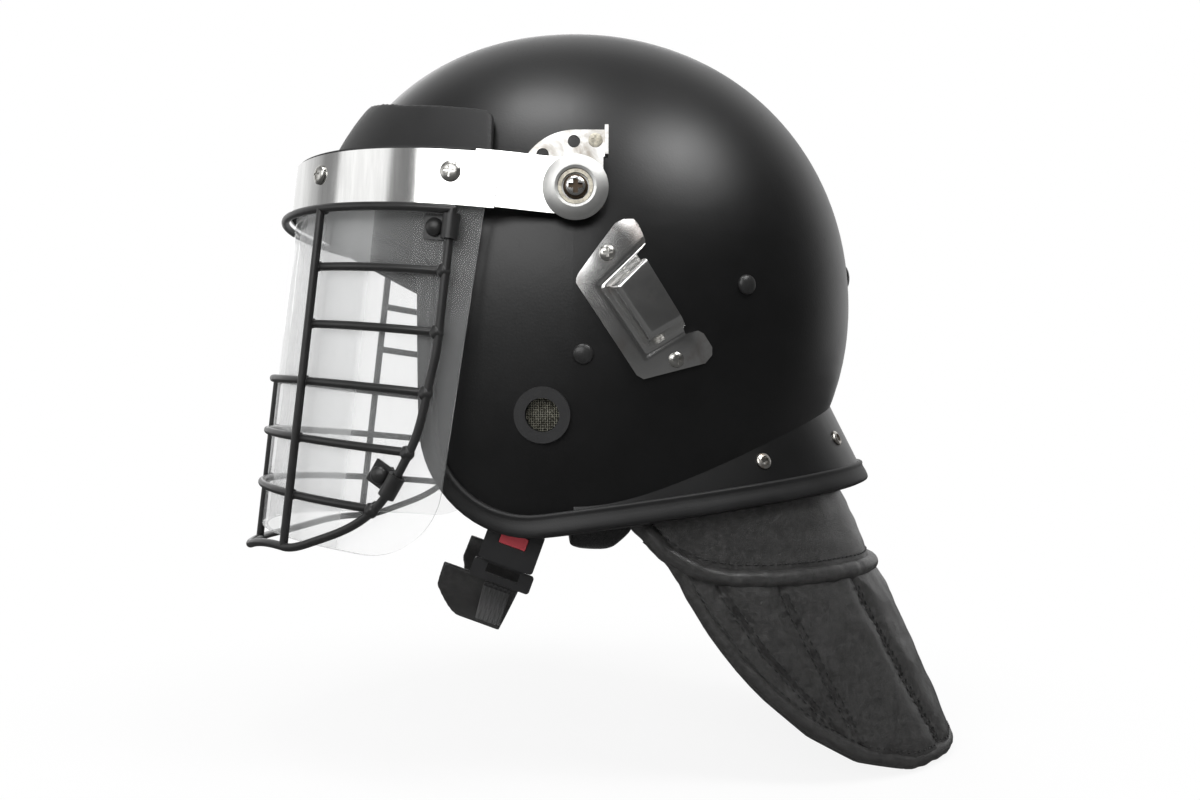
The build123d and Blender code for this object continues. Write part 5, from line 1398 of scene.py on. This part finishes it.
STITCH_LENGTH, STITCH_RADIUS = 0.0031, 0.00042
STITCH_SHIFTS, SEAM_STEPS, SEAM_END = (-1.0, 1.0), 40, 0.007  # degrees beside a seam, steps, gap to the edge
EDGE_STITCH_RISE, ROLL_STITCH_RISE, STITCH_STEPS = 0.0085, 0.0068, 180


def flap_skin(turn, z, low, high):
    """Point of the flap's quilted skin between its lower and upper edges."""
    at, out = guard_point(turn, z)
    seam = seam_gap(turn, z)
    gap = min(seam, z - low, high - z + ROLL_SHADE)
    puff = PUFF * (1 - math.exp(-(gap / PUFF_REACH) ** 2)) - SEAM_DEPTH * math.exp(-(seam / SEAM_HALF) ** 2)
    crinkle = sum(noise.noise(at * scale) * depth for scale, depth in CREASES)
    pucker = math.exp(-(seam / PUCKER_HALF) ** 2) * noise.noise(at * PUCKER_SCALE) * PUCKER
    return at + out * (puff + crinkle + pucker - FLAP_SINK)


def make_flap(hide):
    """Quilted flap, closed over a plain inner face."""
    rows, columns = FLAP_ROWS, FLAP_COLUMNS
    outer, inner = [], []
    turns = [math.radians(FLAP_FIRST + (FLAP_LAST - FLAP_FIRST) * c / (columns - 1)) for c in range(columns)]
    spans = [(turn, flap_low(turn), roll_height(turn) - UNDER_ROLL) for turn in turns]
    for r in range(rows):
        for turn, low, high in spans:
            z = high + (low + PAST_EDGE - high) * r / (rows - 1)
            outer.append(flap_skin(turn, z, low, high))
            inner.append(guard_point(turn, z, FLAP_THICKNESS)[0])
    count = rows * columns
    faces = grid(rows, columns)
    faces += [tuple(count + i for i in face[::-1]) for face in faces]
    for c in range(columns - 1):
        faces.append((c, count + c, count + c + 1, c + 1))
        last = (rows - 1) * columns + c
        faces.append((last, last + 1, count + last + 1, count + last))
    for r in range(rows - 1):
        first = r * columns
        faces.append((first, first + columns, count + first + columns, count + first))
        last = first + columns - 1
        faces.append((last, count + last, count + last + columns, last + columns))
    return outward(piece("flap_leather", outer + inner, faces, hide))


def seam_runs(flap):
    """Lines of points on the flap, on both sides of each channel seam."""
    start = FLAP_TOP - LEAST_FLAP
    for seam in FLAP_SEAMS:
        for side in (1, -1):
            for shift in STITCH_SHIFTS:
                run = []
                for i in range(SEAM_STEPS + 1):
                    z = start + (seam[-1][1] - start) * i / SEAM_STEPS
                    degrees = seam_turn(seam, z) + shift
                    turn = math.radians(degrees if side == 1 else 180 - degrees)
                    if z < flap_low(turn) + SEAM_END:
                        break
                    run.append(on_skin(flap, *guard_point(turn, z)))
                yield run


def padded_leather(obj, nodes):
    """Attach a padded leather piece of the guard to the flap's body and hide the nodes that it stands for."""
    done(obj, body_of("neck_flap"), nodes)
    return obj


@step("Neck guard")
class MakeGuard(bpy.types.Operator):
    """Make the leather guard at the nape."""
    bl_idname = "helmet.guard"

    def execute(self, context):
        hide = finish("leather_black")
        for node, voxel, fold in LEATHERS:
            made = wrinkle(soft_copy(node, hide, voxel, 4), fold, LEATHER_FOLDS)
            collar = padded_leather(made, (node,))
        path, normals = guard_path(ROLL_FIRST, ROLL_LAST, ROLL_COUNT, roll_height, ROLL_INSET)
        roll = sweep("collar_roll", path, normals, ring_section(ROLL_RADIUS, 20, 0.92), hide)
        padded_leather(wrinkle(roll, ROLL_FOLD, ROLL_FOLDS), ("collar_piping",))
        flap = padded_leather(make_flap(hide), ("neck_flap", "flap_lining"))

        path, normals = guard_path(EDGE_FIRST, EDGE_LAST, EDGE_COUNT, lambda turn: flap_low(turn) + EDGE_RISE,
                                   EDGE_INSET)
        bound = sweep("flap_bound_edge", path, normals, slab_section(*BINDING, 6), hide)
        padded_leather(wrinkle(bound, EDGE_FOLD, EDGE_FOLDS), ("flap_binding",))
        ways = guard_path(EDGE_FIRST, EDGE_LAST, EDGE_COUNT, lambda turn: 0.0)[1]
        path = [at - way * LINING_IN - Vector((0, 0, LINING_DROP)) for at, way in zip(path, ways)]
        under = sweep("flap_lining_edge", path, normals, ring_section(LINING_RADIUS, 10), hide)
        padded_leather(under, ())

        runs = list(seam_runs(flap))
        path, normals = guard_path(3, 177, STITCH_STEPS, lambda turn: flap_low(turn) + EDGE_STITCH_RISE)
        runs.append([on_skin(flap, at, out) for at, out in zip(path, normals)])
        path, normals = guard_path(-5, 185, STITCH_STEPS, lambda turn: roll_height(turn) + ROLL_STITCH_RISE)
        runs.append([on_skin(collar, at, out) for at, out in zip(path, normals)])
        places = [(at, Vector((at.x, at.y - GUARD_Y, 0.0)).normalized(), along)
                  for run in runs for at, along in spread(run, context.scene.helmet_sizes.stitch)]
        made = repeat("guard_stitches", places, capsule(STITCH_LENGTH, STITCH_RADIUS), finish("thread_black"))
        done(made, body_of("neck_flap"), ())
        return {"FINISHED"}


HARNESS_LEAN = math.radians(20.0)
WEBBING_BEVEL, WEBBING_RUN = 0.0005, 0.6


@step("Harness")
class MakeHarness(bpy.types.Operator):
    """Make the webbing straps and the leather chin cup."""
    bl_idname = "helmet.harness"

    def execute(self, context):
        wide = Vector((0.0, math.cos(HARNESS_LEAN), -math.sin(HARNESS_LEAN)))
        down = Vector((0.0, -math.sin(HARNESS_LEAN), -math.cos(HARNESS_LEAN)))
        for node in ("strap_left", "strap_right", "chin_straps"):
            made = carry(node, finish("webbing_black"), WEBBING_BEVEL, node + "_webbing")
            layers = made.data.uv_layers
            layer = layers[0] if layers else layers.new(name="UVMap")
            for loop in made.data.loops:
                at = made.data.vertices[loop.vertex_index].co
                layer.data[loop.index].uv = (at.dot(wide), at.dot(down) + abs(at.x) * WEBBING_RUN)
            done(made, body_of(node), (node,))
        made = soft_copy("chin_cup", finish("leather_black"), 0.0010, 4)
        done(made, body_of("chin_cup"), ("chin_cup",))
        return {"FINISHED"}


class HelmetPanel(bpy.types.Panel):
    """Lists the helmet's steps and sizes."""
    bl_idname = "VIEW3D_PT_helmet"
    bl_label = "Riot Helmet"
    bl_space_type = "VIEW_3D"
    bl_region_type = "UI"
    bl_category = "Helmet"

    def draw(self, context):
        layout = self.layout
        for made in STEPS:
            layout.operator(made.bl_idname)
        for group in (context.scene.helmet_sizes, context.scene.helmet_colours):
            for key in group.__annotations__:
                layout.prop(group, key)


CLASSES = [HelmetSizes, HelmetColours] + STEPS + [HelmetPanel]


def register():
    for made in CLASSES:
        bpy.utils.register_class(made)
    bpy.types.Scene.helmet_sizes = bpy.props.PointerProperty(type=HelmetSizes)
    bpy.types.Scene.helmet_colours = bpy.props.PointerProperty(type=HelmetColours)


def unregister():
    del bpy.types.Scene.helmet_colours
    del bpy.types.Scene.helmet_sizes
    for made in reversed(CLASSES):
        bpy.utils.unregister_class(made)


def main():
    """Make every piece in the panel's order."""
    register()
    for made in STEPS:
        area, name = made.bl_idname.split(".")
        getattr(getattr(bpy.ops, area), name)()


if __name__ == "__main__":
    main()
